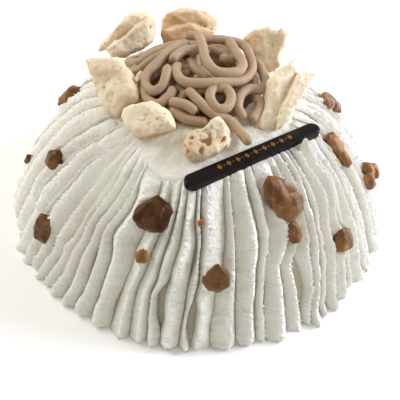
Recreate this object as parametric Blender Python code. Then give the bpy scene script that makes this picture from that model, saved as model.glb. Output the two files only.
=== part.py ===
"""A domed chestnut and cream cake, about 25 cm across and 11 cm high.

Whipped cream is piped over the dome in upright ribbons that flare out at the
foot.  A nest of chestnut paste noodles lies on the flat top, with broken
meringues round it, lumps of candied chestnut pressed into the cream and a
plain chocolate stick in front.  The origin is the middle of the foot, +Z is
up and the front of the cake looks along -Y.
"""

import math
import random

import bmesh
import bpy
from mathutils import Matrix, Vector, noise

MM = 0.001

# Cream dome: crest radius at each height, measured front to back.
PROFILE = ((0, 119), (5, 116.5), (14, 112.5), (26, 106.5), (40, 99.5), (54, 90),
           (66, 79.5), (75, 70.5), (81, 60), (85, 44), (87, 24), (87.5, 8))
WIDER = 1.06
RIBBONS = 80
RIBBON_DEPTH = 8.0
FOOT_REACH = 2.6
FOOT_FLARE = 9.0
FOLDS = ((0.0, 0.0), (0.3, 0.8), (0.55, 1.0), (0.82, 0.45))
SHOULDER = 81
TOP_RIPPLE = 0.8

# Nest of noodles
NOODLE = 5.4
MOUND_MIDDLE = (-6, 12)
MOUND_HALF = (45, 46, 36)
MOUND_TOP = 105.0
MOUND_FALL = 15.0
CORE_SHARE = 0.92
CORE_BELOW = 3.4
CORE_FOOT = 80.0

# Chocolate stick
STICK_LENGTH = 85.0
STICK_WIDTH = 8.6
STICK_THICK = 5.2
STICK_MIDDLE = (28.2, -45.6, 82.0)
STICK_TURN = 34.2
STICK_RISE = 0.6
SEAT_REACH = 15.0

LUMP_POINTS = 22
GAP = 0.3

CREAM = (0.86, 0.84, 0.78, 1)
PASTE = (0.43, 0.29, 0.20, 1)
MERINGUE = (0.80, 0.66, 0.46, 1)
CHESTNUT = (0.25, 0.10, 0.03, 1)
CHOCOLATE = (0.02, 0.012, 0.01, 1)


def clear_scene():
    for obj in list(bpy.data.objects):
        bpy.data.objects.remove(obj, do_unlink=True)


def material(name, colour, roughness):
    mat = bpy.data.materials.new(name)
    mat.use_nodes = True
    shader = mat.node_tree.nodes["Principled BSDF"]
    shader.inputs["Base Color"].default_value = colour
    shader.inputs["Roughness"].default_value = roughness
    return mat


def add_object(name, bm, colour=CREAM, roughness=0.5):
    bmesh.ops.recalc_face_normals(bm, faces=bm.faces)
    mesh = bpy.data.meshes.new(name)
    bm.to_mesh(mesh)
    bm.free()
    obj = bpy.data.objects.new(name, mesh)
    bpy.context.scene.collection.objects.link(obj)
    obj.data.materials.append(material(name + "_finish", colour, roughness))
    return obj


def bake(obj):
    """Apply the object's modifiers to its mesh."""
    graph = bpy.context.evaluated_depsgraph_get()
    mesh = bpy.data.meshes.new_from_object(obj.evaluated_get(graph))
    obj.modifiers.clear()
    obj.data = mesh


def combine(obj, operands, operation, solver="MANIFOLD"):
    """Fuse the operands to an object, or cut them from it, in one step."""
    group = bpy.data.collections.new("operands")
    bpy.context.scene.collection.children.link(group)
    for other in operands:
        group.objects.link(other)
    step = obj.modifiers.new("step", "BOOLEAN")
    step.operation = operation
    step.operand_type = "COLLECTION"
    step.collection = group
    step.solver = solver
    bake(obj)
    for other in operands:
        bpy.data.objects.remove(other, do_unlink=True)
    bpy.data.collections.remove(group)
    keep_main_body(obj)


def islands(bm):
    left = set(bm.faces)
    found = []
    while left:
        stack = [left.pop()]
        island = list(stack)
        while stack:
            for edge in stack.pop().edges:
                for face in edge.link_faces:
                    if face in left:
                        left.remove(face)
                        stack.append(face)
                        island.append(face)
        found.append(island)
    return found


def keep_main_body(obj):
    """Drop loose scraps and the walls of sealed hollows."""
    bm = bmesh.new()
    bm.from_mesh(obj.data)
    bmesh.ops.remove_doubles(bm, verts=bm.verts, dist=0.001 * MM)
    parts = islands(bm)
    main = max(parts, key=lambda faces: sum(f.calc_area() for f in faces))
    loose = [f for part in parts if part is not main for f in part]
    bmesh.ops.delete(bm, geom=loose, context="FACES")
    bmesh.ops.triangulate(bm, faces=bm.faces)
    bmesh.ops.delete(bm, geom=folded_pairs(bm), context="FACES")
    bm.to_mesh(obj.data)
    bm.free()


def folded_pairs(bm):
    """Slivers that lie back to back on the same three corners."""
    seen = {}
    folded = []
    for face in bm.faces:
        corners = frozenset(face.verts)
        if corners in seen:
            folded += [face, seen[corners]]
        seen[corners] = face
    return folded


def crest_radius(height):
    """Radius of the ribbon crests at a height, both in millimetres."""
    for (low, wide), (high, narrow) in zip(PROFILE, PROFILE[1:]):
        if height <= high:
            part = (height - low) / (high - low)
            return wide + (narrow - wide) * part
    return PROFILE[-1][1]


def around(azimuth, radius, height):
    """A point on the oval dome; azimuth 0 is the front, + to the right."""
    return Vector((math.sin(azimuth) * radius * WIDER,
                   -math.cos(azimuth) * radius, height)) * MM


def wander(azimuth, height):
    """Sideways drift of the piping as it runs down, in radians."""
    spot = Vector((math.sin(azimuth) * 1.7, math.cos(azimuth) * 1.7, height / 45))
    return math.radians(3.0) * noise.noise(spot)


def stick_axis(x):
    """Front-to-back place and height of the stick's middle line at x."""
    run = x - STICK_MIDDLE[0]
    slope = math.tan(math.radians(STICK_TURN))
    return STICK_MIDDLE[1] + run * slope, STICK_MIDDLE[2] + run * STICK_RISE / 60


def seat_stick(bm):
    """Settle the cream under the chocolate stick."""
    for vert in bm.verts:
        x, y, z = vert.co / MM
        line_y, line_z = stick_axis(x)
        off = abs(y - line_y) * math.cos(math.radians(STICK_TURN))
        past = max(0.0, abs(x - STICK_MIDDLE[0]) - STICK_LENGTH * 0.36)
        near = max(0.0, 1.0 - math.hypot(off, past) / SEAT_REACH)
        if z > 66 and near > 0:
            blend = near * near * (3 - 2 * near)
            settle = max(-4.0, min(4.0, line_z - 1.0 - z))
            vert.co.z += settle * blend * MM


# Each chestnut: lobes of azimuth, height, outward shift, width, length, depth.
CHESTNUTS = {
    "chestnut_back_left": ((-103, 64, 0, 19, 17, 13),),
    "chestnut_left": ((-67, 60, 0, 13, 13, 9),),
    "chestnut_left_edge": ((-86, 33, 1, 6, 9, 6),),
    "chestnut_left_low": ((-53, 32, 0, 16, 19, 10),),
    "chestnut_front": ((-15.4, 66, 0, 22.5, 22, 12),),
    "chestnut_front_bit": ((-16, 49, 0, 8, 9, 6),),
    "chestnut_crumb": ((1.5, 66, 0, 4, 5, 4),),
    "chestnut_front_low": ((6.2, 43, 0, 16, 16, 9),),
    "chestnut_right": ((33.5, 67.5, 0, 19, 18, 11), (30.5, 74, 1, 14, 15, 9)),
    "chestnut_right_bit": ((32.5, 55.5, 0, 8, 12, 8),),
    "chestnut_right_low": ((51, 38, 0, 16, 16, 10),),
    "chestnut_right_high": ((74, 71, 0, 11, 19, 8), (72, 64.5, 0.5, 7, 14, 7)),
    "chestnut_back_right": ((104, 72, 1, 15, 13, 9), (108, 65, 1, 11, 25, 9)),
    "chestnut_right_edge": ((86, 37, 3.5, 11, 11, 10), (83.5, 43, 2.5, 11, 11, 8),
                            (80.5, 39, 1.5, 9, 15, 8)),
}

# Each meringue: middle, turn about the upright, lean back, thickness and the
# outlines of its fused pieces as (across, up) steps in its own plane.
MERINGUES = {
    "meringue_back_left": ((-48.8, 45.3, 94.5), 8, 28, 19, (
        ((-19, -10), (-17, -5.5), (-8, 4), (-1, 10), (7, 14), (13, 12), (15, 8),
         (1, 0.5), (-12, -8.5)),
        ((-14, -9), (0, -0.5), (14.5, 8.5), (17, 7), (17.5, 1), (15, -5), (9, -8.5),
         (-1.5, -13.5), (-12, -13.5)))),
    "meringue_back": ((-11.3, 53.8, 96), 0, 28, 17, (
        ((-18, -1), (-18, 4), (-13.5, 8), (-5.5, 11), (0, 11.5), (10, 9.5),
         (17.5, 4.5), (17.5, -0.5), (0, 2)),
        ((-18, -2), (-9, 2), (4, 3), (16.5, -0.5), (11, -8), (-2, -11.5),
         (-15, -11.5)))),
    "meringue_back_right": ((36.2, 35.2, 96), -10, 28, 11, (
        ((-14.5, 4), (-10, 8.5), (0, 14), (4, 11.5), (8, 15.5), (11, 10), (11, 3.5),
         (9.5, -4.5), (11.5, -9.5), (4, -15), (-4, -13), (-10.5, -5.5)),)),
    "meringue_right": ((41.6, -11.6, 94), 20, 45, 12, (
        ((12.5, 19.5), (13, 14), (9, 4), (0, -8), (-9, -18), (-18, -17),
         (-17, -10.5), (-11, -6), (-7.5, 1.5), (-3.5, 11), (3.5, 15.5)),
        ((21.5, 10), (17, 6.5), (9, -3.5), (3, -8), (-0.5, -13), (-8, -18),
         (-4, -8), (4, 4), (11, 12)))),
    "meringue_left": ((-49, -8.8, 94), -25, 42, 13, (
        ((-22, 8.5), (-13, 12.5), (-1, 15), (8, 9), (14.5, 2.5), (17, -2.5),
         (11, -8.5), (9, -15.5), (3.5, -15.5), (-4.5, -10.5), (-13, -1.5)),)),
    "meringue_front_left": ((-28.5, -32.8, 91), -15, 55, 12, (
        ((-14.5, -2.5), (-13.5, 2.5), (-9.5, 7), (0, 9.5), (8, 7.5), (13, 3.5),
         (15.5, -0.5), (11, -4.5), (5, -8.5), (-3, -10), (-9.5, -6.5)),)),
    "meringue_front": ((2.7, -44.3, 89.5), 0, 50, 13, (
        ((-11.5, -3.5), (-9.5, 3), (-3, 6), (3, 4), (10, 4), (12, 0), (11, -3.5),
         (5.5, -6.5), (-1, -10.5), (-8.5, -10.5), (-11.5, -7.5)),
        ((-3, 5), (0.5, 10), (4.5, 11.5), (9, 9.5), (11, 5), (10, 0), (4, -1),
         (-1, 1)))),
}

# Each noodle: the points its middle line runs through.
NOODLES = (
    ((-46, 21, 90.5), (-38, 12.5, 96), (-31, 17, 99), (-20, 24, 101)),
    ((-39.5, 2, 95), (-31, 8, 99.5), (-22, 16, 101.5)),
    ((-9.5, 20, 104), (-19, 14, 105), (-25, 3, 104), (-31, -5, 101),
     (-31.5, -12, 98.5), (-27, -17, 98), (-22.5, -15, 100), (-20.5, -7, 103.5),
     (-21, -3, 104)),
    ((-2.5, 13, 106), (-11.5, 10.5, 106.5), (-16, 6, 106), (-18.5, 1, 105.5)),
    ((-15, 1, 103.5), (-15.5, -6, 103), (-11, -13.5, 102.5), (-1, -14, 102.5),
     (10, -11, 102), (20, -6, 100), (26, 5, 99), (26, 18, 99), (22, 31, 99.5),
     (11, 33, 101), (-3, 31, 102.5)),
    ((-12, 28, 105.5), (-5, 25, 107), (-2, 12, 108), (0, 0, 108), (6, -7.5, 106),
     (17, -5, 104.5), (20.5, 2, 104.5), (18, 10, 105.5), (13, 29, 103)),
    ((8, 10, 103), (18, 11.5, 101)),
    ((-9.5, 8, 102), (-5, 0, 101.5), (3, -6, 100)),
    ((-16.5, -15, 99.5), (-18, -19, 97.5), (-24.5, -23, 94), (-30.5, -18, 94),
     (-33, -10, 96)),
    ((-18, -22.5, 96), (-9, -25, 96), (-3.5, -28, 94)),
    ((-17.5, -25, 92.5), (-8, -29.5, 90.5), (2.5, -30, 89.5)),
    ((-9, -16.5, 100), (-3, -22.5, 97.5), (5, -27.5, 93.5), (14, -29, 90.5),
     (19, -34, 88.8), (24, -42.5, 88.5)),
    ((5.5, -14.5, 101), (3.5, -20, 99.5), (6.5, -26, 95.5), (12, -25.5, 94),
     (15, -19, 97), (11.5, -13.5, 100)),
    ((29, 27, 93), (33, 11, 95), (32, 1, 95), (26, -6.5, 96.5), (20, -15, 96),
     (19, -22, 93), (23.5, -26, 90)),
    ((28.5, -10, 93.5), (31, -15, 90.5), (26, -26.5, 89)),
    ((-38, 26, 90), (-28, 36, 91), (-12, 41, 91), (4, 42, 91), (18, 39, 91)),
    ((-36, -2, 91), (-37, -10, 90), (-33, -18, 89.5)),
)


def ribbon_columns(rng):
    """Four folds for each ribbon: its place round the foot and its size."""
    widths = [rng.uniform(0.65, 1.35) for _ in range(RIBBONS)]
    turn = 2 * math.pi / sum(widths)
    columns = []
    start = -math.pi
    for width in widths:
        depth = RIBBON_DEPTH * rng.uniform(0.7, 1.1)
        reach = rng.uniform(-1.0, 1.0)
        for along, rise in FOLDS:
            columns.append((start + turn * width * along, rise, depth, reach))
        start += turn * width
    return columns


def ribbon_point(column, height):
    azimuth, rise, depth, reach = column
    deep = min(1.0, max(0.12, (SHOULDER - height) / 26))
    flare = max(0.0, 1.0 - height / FOOT_FLARE)
    rise = rise ** (1.0 - 0.45 * flare)
    radius = crest_radius(height)
    radius -= depth * deep * (1 - rise) * (1 - 0.25 * flare)
    radius += FOOT_REACH * reach * flare * rise
    return around(azimuth + wander(azimuth, height), radius, height)


def lift_cap(bm, cap):
    """Grow a wall up from the cap and return the cap that now closes it."""
    covered = any(len(edge.link_faces) > 1 for edge in cap.edges)
    grown = bmesh.ops.extrude_face_region(bm, geom=[cap])["geom"]
    if covered:
        bmesh.ops.delete(bm, geom=[cap], context="FACES_ONLY")
    return next(f for f in grown if isinstance(f, bmesh.types.BMFace))


def make_dome():
    columns = ribbon_columns(random.Random(27))
    bm = bmesh.new()
    number = bm.verts.layers.int.new("column")
    bmesh.ops.create_circle(bm, cap_ends=True, segments=len(columns), radius=1)
    for index, vert in enumerate(bm.verts):
        vert[number] = index
        vert.co = ribbon_point(columns[index], 0)
    cap = next(iter(bm.faces))
    for height, _ in PROFILE[1:]:
        if height <= SHOULDER:
            cap = lift_cap(bm, cap)
            for vert in cap.verts:
                vert.co = ribbon_point(columns[vert[number]], height)
            if height == SHOULDER:
                cap = melt_folds(bm, cap, number)
            continue
        cap = lift_cap(bm, cap)
        for vert in cap.verts:
            azimuth = columns[vert[number]][0]
            vert.co = around(azimuth, crest_radius(height), height)
            vert.co.z += TOP_RIPPLE * MM * noise.noise(vert.co / (14 * MM))
    seat_stick(bm)
    return add_object("cream_dome", bm, CREAM, 0.45)


def melt_folds(bm, cap, number):
    """Close each ribbon to one point where it melts into the smooth top."""
    heads = {v[number]: v for v in cap.verts if v[number] % len(FOLDS) == 0}
    targets = {}
    for vert in cap.verts:
        head = heads[vert[number] - vert[number] % len(FOLDS)]
        if vert is not head:
            targets[vert] = head
    bmesh.ops.weld_verts(bm, targetmap=targets)
    return max(bm.faces, key=lambda f: f.calc_center_median().z)


def place(azimuth, height, out=0.0):
    """Frame on the dome: across, up the slope and outward."""
    turn = math.radians(azimuth)
    radius = crest_radius(height)
    lower = around(turn, crest_radius(height - 3), height - 3)
    upper = around(turn, crest_radius(height + 3), height + 3)
    across = around(turn + 0.02, radius, height) - around(turn - 0.02, radius, height)
    across.normalize()
    outward = across.cross((upper - lower).normalized()).normalized()
    frame = Matrix((across, outward.cross(across), outward)).transposed().to_4x4()
    frame.translation = around(turn, radius, height) + outward * out * MM
    return frame


def make_lump(name, frame, size, seed):
    """An angular broken lump: the hull of points scattered on an oval."""
    rng = random.Random(seed)
    half = [s / 2 * MM for s in size]
    bm = bmesh.new()
    for step in range(LUMP_POINTS):
        level = 1 - 2 * (step + 0.5) / LUMP_POINTS
        spin = step * 2.4 + rng.uniform(-0.35, 0.35)
        flat = math.sqrt(1 - level * level)
        shrink = rng.uniform(0.78, 1.06)
        bm.verts.new((half[0] * flat * shrink * math.cos(spin),
                      half[1] * flat * shrink * math.sin(spin),
                      half[2] * level * shrink))
    hull = bmesh.ops.convex_hull(bm, input=bm.verts)
    inside = [v for v in hull["geom_interior"] if isinstance(v, bmesh.types.BMVert)]
    bmesh.ops.delete(bm, geom=inside, context="VERTS")
    bmesh.ops.transform(bm, matrix=frame, verts=bm.verts)
    return add_object(name, bm, CHESTNUT, 0.25)


def make_chestnut(name, lobes):
    pieces = []
    for order, (azimuth, height, out, *size) in enumerate(lobes):
        seed = sum(map(ord, name)) + order
        pieces.append(make_lump(name if not order else "lobe",
                                place(azimuth, height, out), size, seed))
    if len(pieces) > 1:
        combine(pieces[0], pieces[1:], "UNION")
    return pieces[0]


def make_pillow(name, frame, thick, outline):
    """A soft-edged slab grown from the back of its outline to the front."""
    bm = bmesh.new()
    cap = bm.faces.new([bm.verts.new(Vector((x, y, 0)) * MM) for x, y in outline])
    centre = cap.calc_center_median()
    about = Matrix.Translation(-centre)
    layers = ((-0.5, 0.66), (-0.3, 0.93), (0.0, 1.0), (0.3, 0.93), (0.5, 0.66))
    old_depth, old_size = 0.0, 1.0
    for step, (depth, size) in enumerate(layers):
        if step:
            cap = lift_cap(bm, cap)
        ratio = size / old_size
        ring = list(cap.verts)
        bmesh.ops.scale(bm, vec=(ratio, ratio, 1), space=about, verts=ring)
        move = (0, 0, (depth - old_depth) * thick * MM)
        bmesh.ops.translate(bm, vec=move, verts=ring)
        old_depth, old_size = depth, size
    bmesh.ops.transform(bm, matrix=frame, verts=bm.verts)
    return add_object(name, bm, MERINGUE, 0.8)


def make_meringue(name, middle, turn, lean, thick, outlines):
    frame = Matrix.Translation(Vector(middle) * MM)
    frame = frame @ Matrix.Rotation(math.radians(turn), 4, "Z")
    frame = frame @ Matrix.Rotation(math.radians(90 - lean), 4, "X")
    pieces = [make_pillow(name if not order else "part", frame, thick, outline)
              for order, outline in enumerate(outlines)]
    if len(pieces) > 1:
        combine(pieces[0], pieces[1:], "UNION")
    return pieces[0]


def make_core():
    """Packed middle of the nest, just under the noodles that show."""
    bm = bmesh.new()
    bmesh.ops.create_icosphere(bm, subdivisions=3, radius=1)
    for vert in bm.verts:
        x, y, z = vert.co
        far = MOUND_HALF[1] if y < 0 else MOUND_HALF[2]
        share = x * x + y * y
        top = MOUND_TOP - MOUND_FALL * share ** 1.4 - CORE_BELOW
        vert.co.x = x * MOUND_HALF[0] * CORE_SHARE + MOUND_MIDDLE[0]
        vert.co.y = y * far * CORE_SHARE + MOUND_MIDDLE[1]
        vert.co.z = top if z > 0.01 else CORE_FOOT
        vert.co *= MM
    return add_object("noodle_nest", bm, PASTE, 0.6)


def make_noodle(points):
    curve = bpy.data.curves.new("noodle", "CURVE")
    curve.dimensions = "3D"
    curve.bevel_depth = NOODLE / 2 * MM
    curve.bevel_resolution = 1
    curve.use_fill_caps = True
    curve.resolution_u = 2
    line = curve.splines.new("BEZIER")
    line.bezier_points.add(len(points) - 1)
    for knot, spot in zip(line.bezier_points, points):
        knot.co = Vector(spot) * MM
        knot.handle_left_type = "AUTO"
        knot.handle_right_type = "AUTO"
    obj = bpy.data.objects.new("noodle", curve)
    bpy.context.scene.collection.objects.link(obj)
    graph = bpy.context.evaluated_depsgraph_get()
    mesh = bpy.data.meshes.new_from_object(obj.evaluated_get(graph))
    bpy.data.objects.remove(obj, do_unlink=True)
    bm = bmesh.new()
    bm.from_mesh(mesh)
    bmesh.ops.remove_doubles(bm, verts=bm.verts, dist=0.001 * MM)
    return add_object("noodle", bm)


def make_stick():
    """A bar with round ends and a narrow bevel round its top and bottom."""
    bm = bmesh.new()
    radius = STICK_WIDTH / 2 * MM
    bmesh.ops.create_circle(bm, cap_ends=True, segments=20, radius=radius)
    reach = (STICK_LENGTH - STICK_WIDTH) / 2 * MM
    for vert in bm.verts:
        vert.co.x += math.copysign(reach, vert.co.x + 1e-9)
    bmesh.ops.translate(bm, vec=(0, 0, -STICK_THICK / 2 * MM), verts=bm.verts)
    cap = lift_cap(bm, next(iter(bm.faces)))
    bmesh.ops.translate(bm, vec=(0, 0, STICK_THICK * MM), verts=cap.verts)
    rims = [e for e in bm.edges if abs(e.verts[0].co.z - e.verts[1].co.z) < 1e-6]
    bmesh.ops.bevel(bm, geom=rims, offset=1.1 * MM, segments=2, profile=0.5,
                    affect="EDGES", material=-1)
    rise = math.atan2(STICK_RISE, 60)
    turn = Matrix.Rotation(math.radians(STICK_TURN), 4, "Z")
    frame = Matrix.Translation(Vector(STICK_MIDDLE) * MM) @ turn
    frame = frame @ Matrix.Rotation(-rise, 4, "Y")
    bmesh.ops.transform(bm, matrix=frame, verts=bm.verts)
    return add_object("chocolate_stick", bm, CHOCOLATE, 0.2)


def swollen(obj):
    """A copy grown by the gap, to cut room for the piece."""
    copy = bpy.data.objects.new("room", obj.data.copy())
    bpy.context.scene.collection.objects.link(copy)
    bm = bmesh.new()
    bm.from_mesh(copy.data)
    bm.normal_update()
    shifts = [(v, v.normal * GAP * 1.5 * MM) for v in bm.verts]
    for vert, shift in shifts:
        vert.co += shift
    bm.to_mesh(copy.data)
    bm.free()
    return copy


def raised(obj):
    copy = bpy.data.objects.new("bed", obj.data.copy())
    bpy.context.scene.collection.objects.link(copy)
    copy.data.transform(Matrix.Translation((0, 0, GAP * 1.2 * MM)))
    return copy


def main():
    clear_scene()
    dome = make_dome()
    stick = make_stick()
    chestnuts = [make_chestnut(name, lobes) for name, lobes in CHESTNUTS.items()]
    meringues = {name: make_meringue(name, *sizes) for name, sizes in MERINGUES.items()}
    combine(meringues["meringue_front_left"], [swollen(meringues["meringue_left"])],
            "DIFFERENCE")
    nest = make_core()
    combine(nest, [make_noodle(points) for points in NOODLES], "UNION")
    around_nest = [swollen(obj) for obj in meringues.values()]
    combine(nest, around_nest + [swollen(stick), raised(dome)], "DIFFERENCE")
    sunk = [stick] + chestnuts + list(meringues.values())
    combine(dome, [swollen(obj) for obj in sunk], "DIFFERENCE")
    for obj in [dome, nest] + sunk:
        obj.data.shade_smooth()
        obj.data.set_sharp_from_angle(angle=math.radians(38))


main()
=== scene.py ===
# %% [markdown]
# A domed chestnut and cream cake.  Whipped cream is piped up the sides in ribbons, a nest of
# chestnut noodles lies on top between broken meringues, and candied chestnuts and a plain
# chocolate stick are pressed into the cream.  The solid model fixes every size and place.
# This script loads it as a frame and dresses it, one kind of piece at a time.

# %% Load the frame
import math
import random

import bmesh
import bpy
from mathutils import Matrix, Vector, noise
from mathutils.geometry import interpolate_bezier


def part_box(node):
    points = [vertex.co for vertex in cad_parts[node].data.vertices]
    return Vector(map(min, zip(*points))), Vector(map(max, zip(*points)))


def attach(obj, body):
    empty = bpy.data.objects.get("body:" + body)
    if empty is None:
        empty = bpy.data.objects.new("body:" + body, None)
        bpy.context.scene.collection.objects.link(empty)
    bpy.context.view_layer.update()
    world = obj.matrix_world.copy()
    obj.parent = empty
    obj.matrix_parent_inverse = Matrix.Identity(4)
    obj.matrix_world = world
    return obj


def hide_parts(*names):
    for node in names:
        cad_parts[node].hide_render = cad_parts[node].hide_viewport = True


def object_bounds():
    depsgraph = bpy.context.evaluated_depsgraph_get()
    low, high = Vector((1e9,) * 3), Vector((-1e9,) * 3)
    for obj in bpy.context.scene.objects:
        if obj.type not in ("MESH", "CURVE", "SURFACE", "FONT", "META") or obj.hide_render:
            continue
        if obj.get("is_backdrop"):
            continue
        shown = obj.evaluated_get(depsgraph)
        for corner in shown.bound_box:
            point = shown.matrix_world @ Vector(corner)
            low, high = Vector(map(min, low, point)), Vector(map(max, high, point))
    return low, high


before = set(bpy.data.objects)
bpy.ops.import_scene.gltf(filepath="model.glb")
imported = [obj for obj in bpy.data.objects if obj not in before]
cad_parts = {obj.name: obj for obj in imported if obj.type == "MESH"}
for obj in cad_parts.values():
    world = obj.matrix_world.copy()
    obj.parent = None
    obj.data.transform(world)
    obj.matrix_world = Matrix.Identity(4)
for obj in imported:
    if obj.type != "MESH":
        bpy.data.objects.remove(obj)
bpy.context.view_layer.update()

MM = 0.001

# %% [markdown]
# The camera comes early, so that each new piece can be looked at from the right place.  It
# looks down on the cake at 48 degrees from a little over 34 cm, like a phone held over the
# counter, with a slight roll.  A small lens shift frames the cake without turning the view.

# %% The camera
LOOK_DOWN = math.radians(48.35)
CAMERA_DISTANCE = 344.7
CAMERA_ROLL = math.radians(-3.1)
LOOK_AT = Vector((-1.8, -9.0, 0.0))
PICTURE_WIDTH = 400
SHIFT_PIXELS = (5.4, 4.5)

back = Vector((0, -math.cos(LOOK_DOWN), math.sin(LOOK_DOWN)))
level_up = Vector((0, math.sin(LOOK_DOWN), math.cos(LOOK_DOWN)))
level_right = Vector((1, 0, 0))
rolled_right = level_right * math.cos(CAMERA_ROLL) - level_up * math.sin(CAMERA_ROLL)
rolled_up = level_right * math.sin(CAMERA_ROLL) + level_up * math.cos(CAMERA_ROLL)

camera_data = bpy.data.cameras.new("camera")
camera_data.lens = 45
camera_data.sensor_width = 36
camera_data.shift_x = SHIFT_PIXELS[0] / PICTURE_WIDTH
camera_data.shift_y = SHIFT_PIXELS[1] / PICTURE_WIDTH
camera_data.clip_start = 0.01
camera = bpy.data.objects.new("camera", camera_data)
camera.matrix_world = Matrix((rolled_right, rolled_up, back)).transposed().to_4x4()
camera.matrix_world.translation = (LOOK_AT + back * CAMERA_DISTANCE) * MM
bpy.context.scene.collection.objects.link(camera)
bpy.context.scene.camera = camera
print("the camera stands at", [round(x) for x in camera.location / MM], "mm")

# %% [markdown]
# Light for food is broad, so that cream keeps its folds without hard shadows.  One large, cool
# light stands on the right, a little behind the cake, as a window does beside a counter.  A
# weaker, warmer one hangs higher at the back left, and a pale room colour keeps the hollows
# open.

# %% The lights and the room
LIGHT_AIM = Vector((0, 0, 0.05))


def soft_light(name, spot, size, power, colour):
    data = bpy.data.lights.new(name, "AREA")
    data.shape = "DISK"
    data.size = size
    data.energy = power
    data.color = colour
    light = bpy.data.objects.new(name, data)
    bpy.context.scene.collection.objects.link(light)
    light.location = spot
    light.rotation_euler = (LIGHT_AIM - Vector(spot)).to_track_quat("-Z", "Y").to_euler()
    print(name, "stands at", [round(side * 100) for side in spot], "cm")


soft_light("window", spot=(0.95, 0.2, 0.52), size=0.5, power=14.0, colour=(0.87, 0.91, 1.04))
soft_light("back_light", spot=(-0.8, 0.36, 0.75), size=0.6, power=7.2,
           colour=(1.0, 0.965, 0.92))

room = bpy.data.worlds.new("room")
room.use_nodes = True
room.node_tree.nodes["Background"].inputs["Color"].default_value = (1.0, 0.968, 0.88, 1)
room.node_tree.nodes["Background"].inputs["Strength"].default_value = 0.6
bpy.context.scene.world = room
bpy.context.scene.view_settings.view_transform = "Standard"

# %% [markdown]
# A finish is a material made of shader nodes.  Writing node links by hand hides the idea, so
# two small classes let shader maths read like ordinary Python: a Wire is one socket that can
# be added, subtracted or multiplied, and a Finish is a material that makes nodes in one method.

# %% Shader maths as expressions
class Wire:
    """An output socket.  Arithmetic on it adds Math nodes to its finish."""

    def __init__(self, finish, socket):
        self.finish = finish
        self.socket = socket

    def maths(self, operation, first, second=0.0, clamp=False):
        return self.finish.node("Math", {"operation": operation, "use_clamp": clamp},
                                {0: first, 1: second})

    def __add__(self, other):
        return self.maths("ADD", self, other)

    def __sub__(self, other):
        return self.maths("SUBTRACT", self, other)

    def __rsub__(self, other):
        return self.maths("SUBTRACT", other, self)

    def __mul__(self, other):
        return self.maths("MULTIPLY", self, other)

    __radd__ = __add__
    __rmul__ = __mul__

    def clamped(self):
        return self.maths("ADD", self, 0.0, clamp=True)


print("a wire can be added, subtracted and multiplied")

# %% [markdown]
# Colours are given as they look on a screen, and the shader wants linear light, so paint turns
# one into the other.  A Finish holds one Principled shader.  Its patterns are sized in mm, so
# that a speckle on the cream and one on a chestnut can be compared.

# %% Colours and finishes
def paint(red, green, blue):
    """A colour as it looks on a screen, 0 to 255, turned into linear light."""
    def linear(part):
        part /= 255
        return part / 12.92 if part <= 0.04045 else ((part + 0.055) / 1.055) ** 2.4
    return (linear(red), linear(green), linear(blue), 1.0)


class Finish:
    """A material with one Principled shader."""

    def __init__(self, name, **constants):
        self.material = bpy.data.materials.new(name)
        self.material.use_nodes = True
        self.tree = self.material.node_tree
        self.shader = self.tree.nodes["Principled BSDF"]
        for socket, value in constants.items():
            self.shader.inputs[socket.replace("_", " ")].default_value = value
        self.place = self.node("TexCoord", out="Object")

    def plug(self, socket, value):
        if isinstance(value, Wire):
            self.tree.links.new(value.socket, socket)
        else:
            socket.default_value = value

    def node(self, kind, settings=None, sockets=None, out=0):
        """Any other node: its type, its settings, then the values or links of its sockets."""
        made = self.tree.nodes.new("ShaderNode" + kind)
        for name, value in (settings or {}).items():
            setattr(made, name, value)
        for name, value in (sockets or {}).items():
            self.plug(made.inputs[name], value)
        return Wire(self, made.outputs[out])

    def speckle(self, size_mm, detail=2.0, rough=0.5, stretch=(1, 1, 1)):
        """Noise with features about size_mm across."""
        spot = self.node("Mapping", {}, {"Vector": self.place, "Scale": stretch})
        return self.node("TexNoise", {}, {"Vector": spot, "Scale": 1 / (size_mm * MM),
                                          "Detail": detail, "Roughness": rough})

    def attribute(self, name):
        return self.node("Attribute", {"attribute_name": name}, out="Fac")

    def blend(self, share, first, second):
        return self.node("Mix", {"data_type": "RGBA"}, {0: share, 6: first, 7: second}, out=2)

    def step(self, value, low, high):
        """0 below low, 1 above high and a smooth rise between."""
        return self.node("MapRange", {"interpolation_type": "SMOOTHSTEP"},
                         {"Value": value, "From Min": low, "From Max": high})

    def relief(self, height, depth_mm):
        return self.node("Bump", {}, {"Height": height, "Distance": depth_mm * MM,
                                      "Strength": 1.0})

    def wear(self, **sockets):
        for socket, value in sockets.items():
            self.plug(self.shader.inputs[socket.replace("_", " ")], value)


print("finishes are ready to be mixed")

# %% [markdown]
# The floor is a plain pale sheet, marked as stage because it isn't part of the cake.

# %% The floor
FLOOR_RADIUS = 3.0
floor_finish = Finish("pale_floor", Roughness=0.7)
floor_grain = floor_finish.speckle(30, 3)
floor_finish.wear(Base_Color=floor_finish.blend(floor_grain, paint(250, 251, 252),
                                                paint(252, 253, 255)))
floor_mesh = bpy.data.meshes.new("floor")
bm = bmesh.new()
bmesh.ops.create_circle(bm, cap_ends=True, segments=96, radius=FLOOR_RADIUS)
bm.to_mesh(floor_mesh)
bm.free()
floor = bpy.data.objects.new("floor", floor_mesh)
floor.data.materials.append(floor_finish.material)
bpy.context.scene.collection.objects.link(floor)
floor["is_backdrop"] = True
print("the floor is", 2 * FLOOR_RADIUS, "m across")

# %% [markdown]
# Every piece ends the same way: its mesh becomes an object at the origin, shaded smooth, with its
# finish and the body it rides on, and the plain solids it stands for are hidden.

# %% Finish a piece
made_pieces = []


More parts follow.
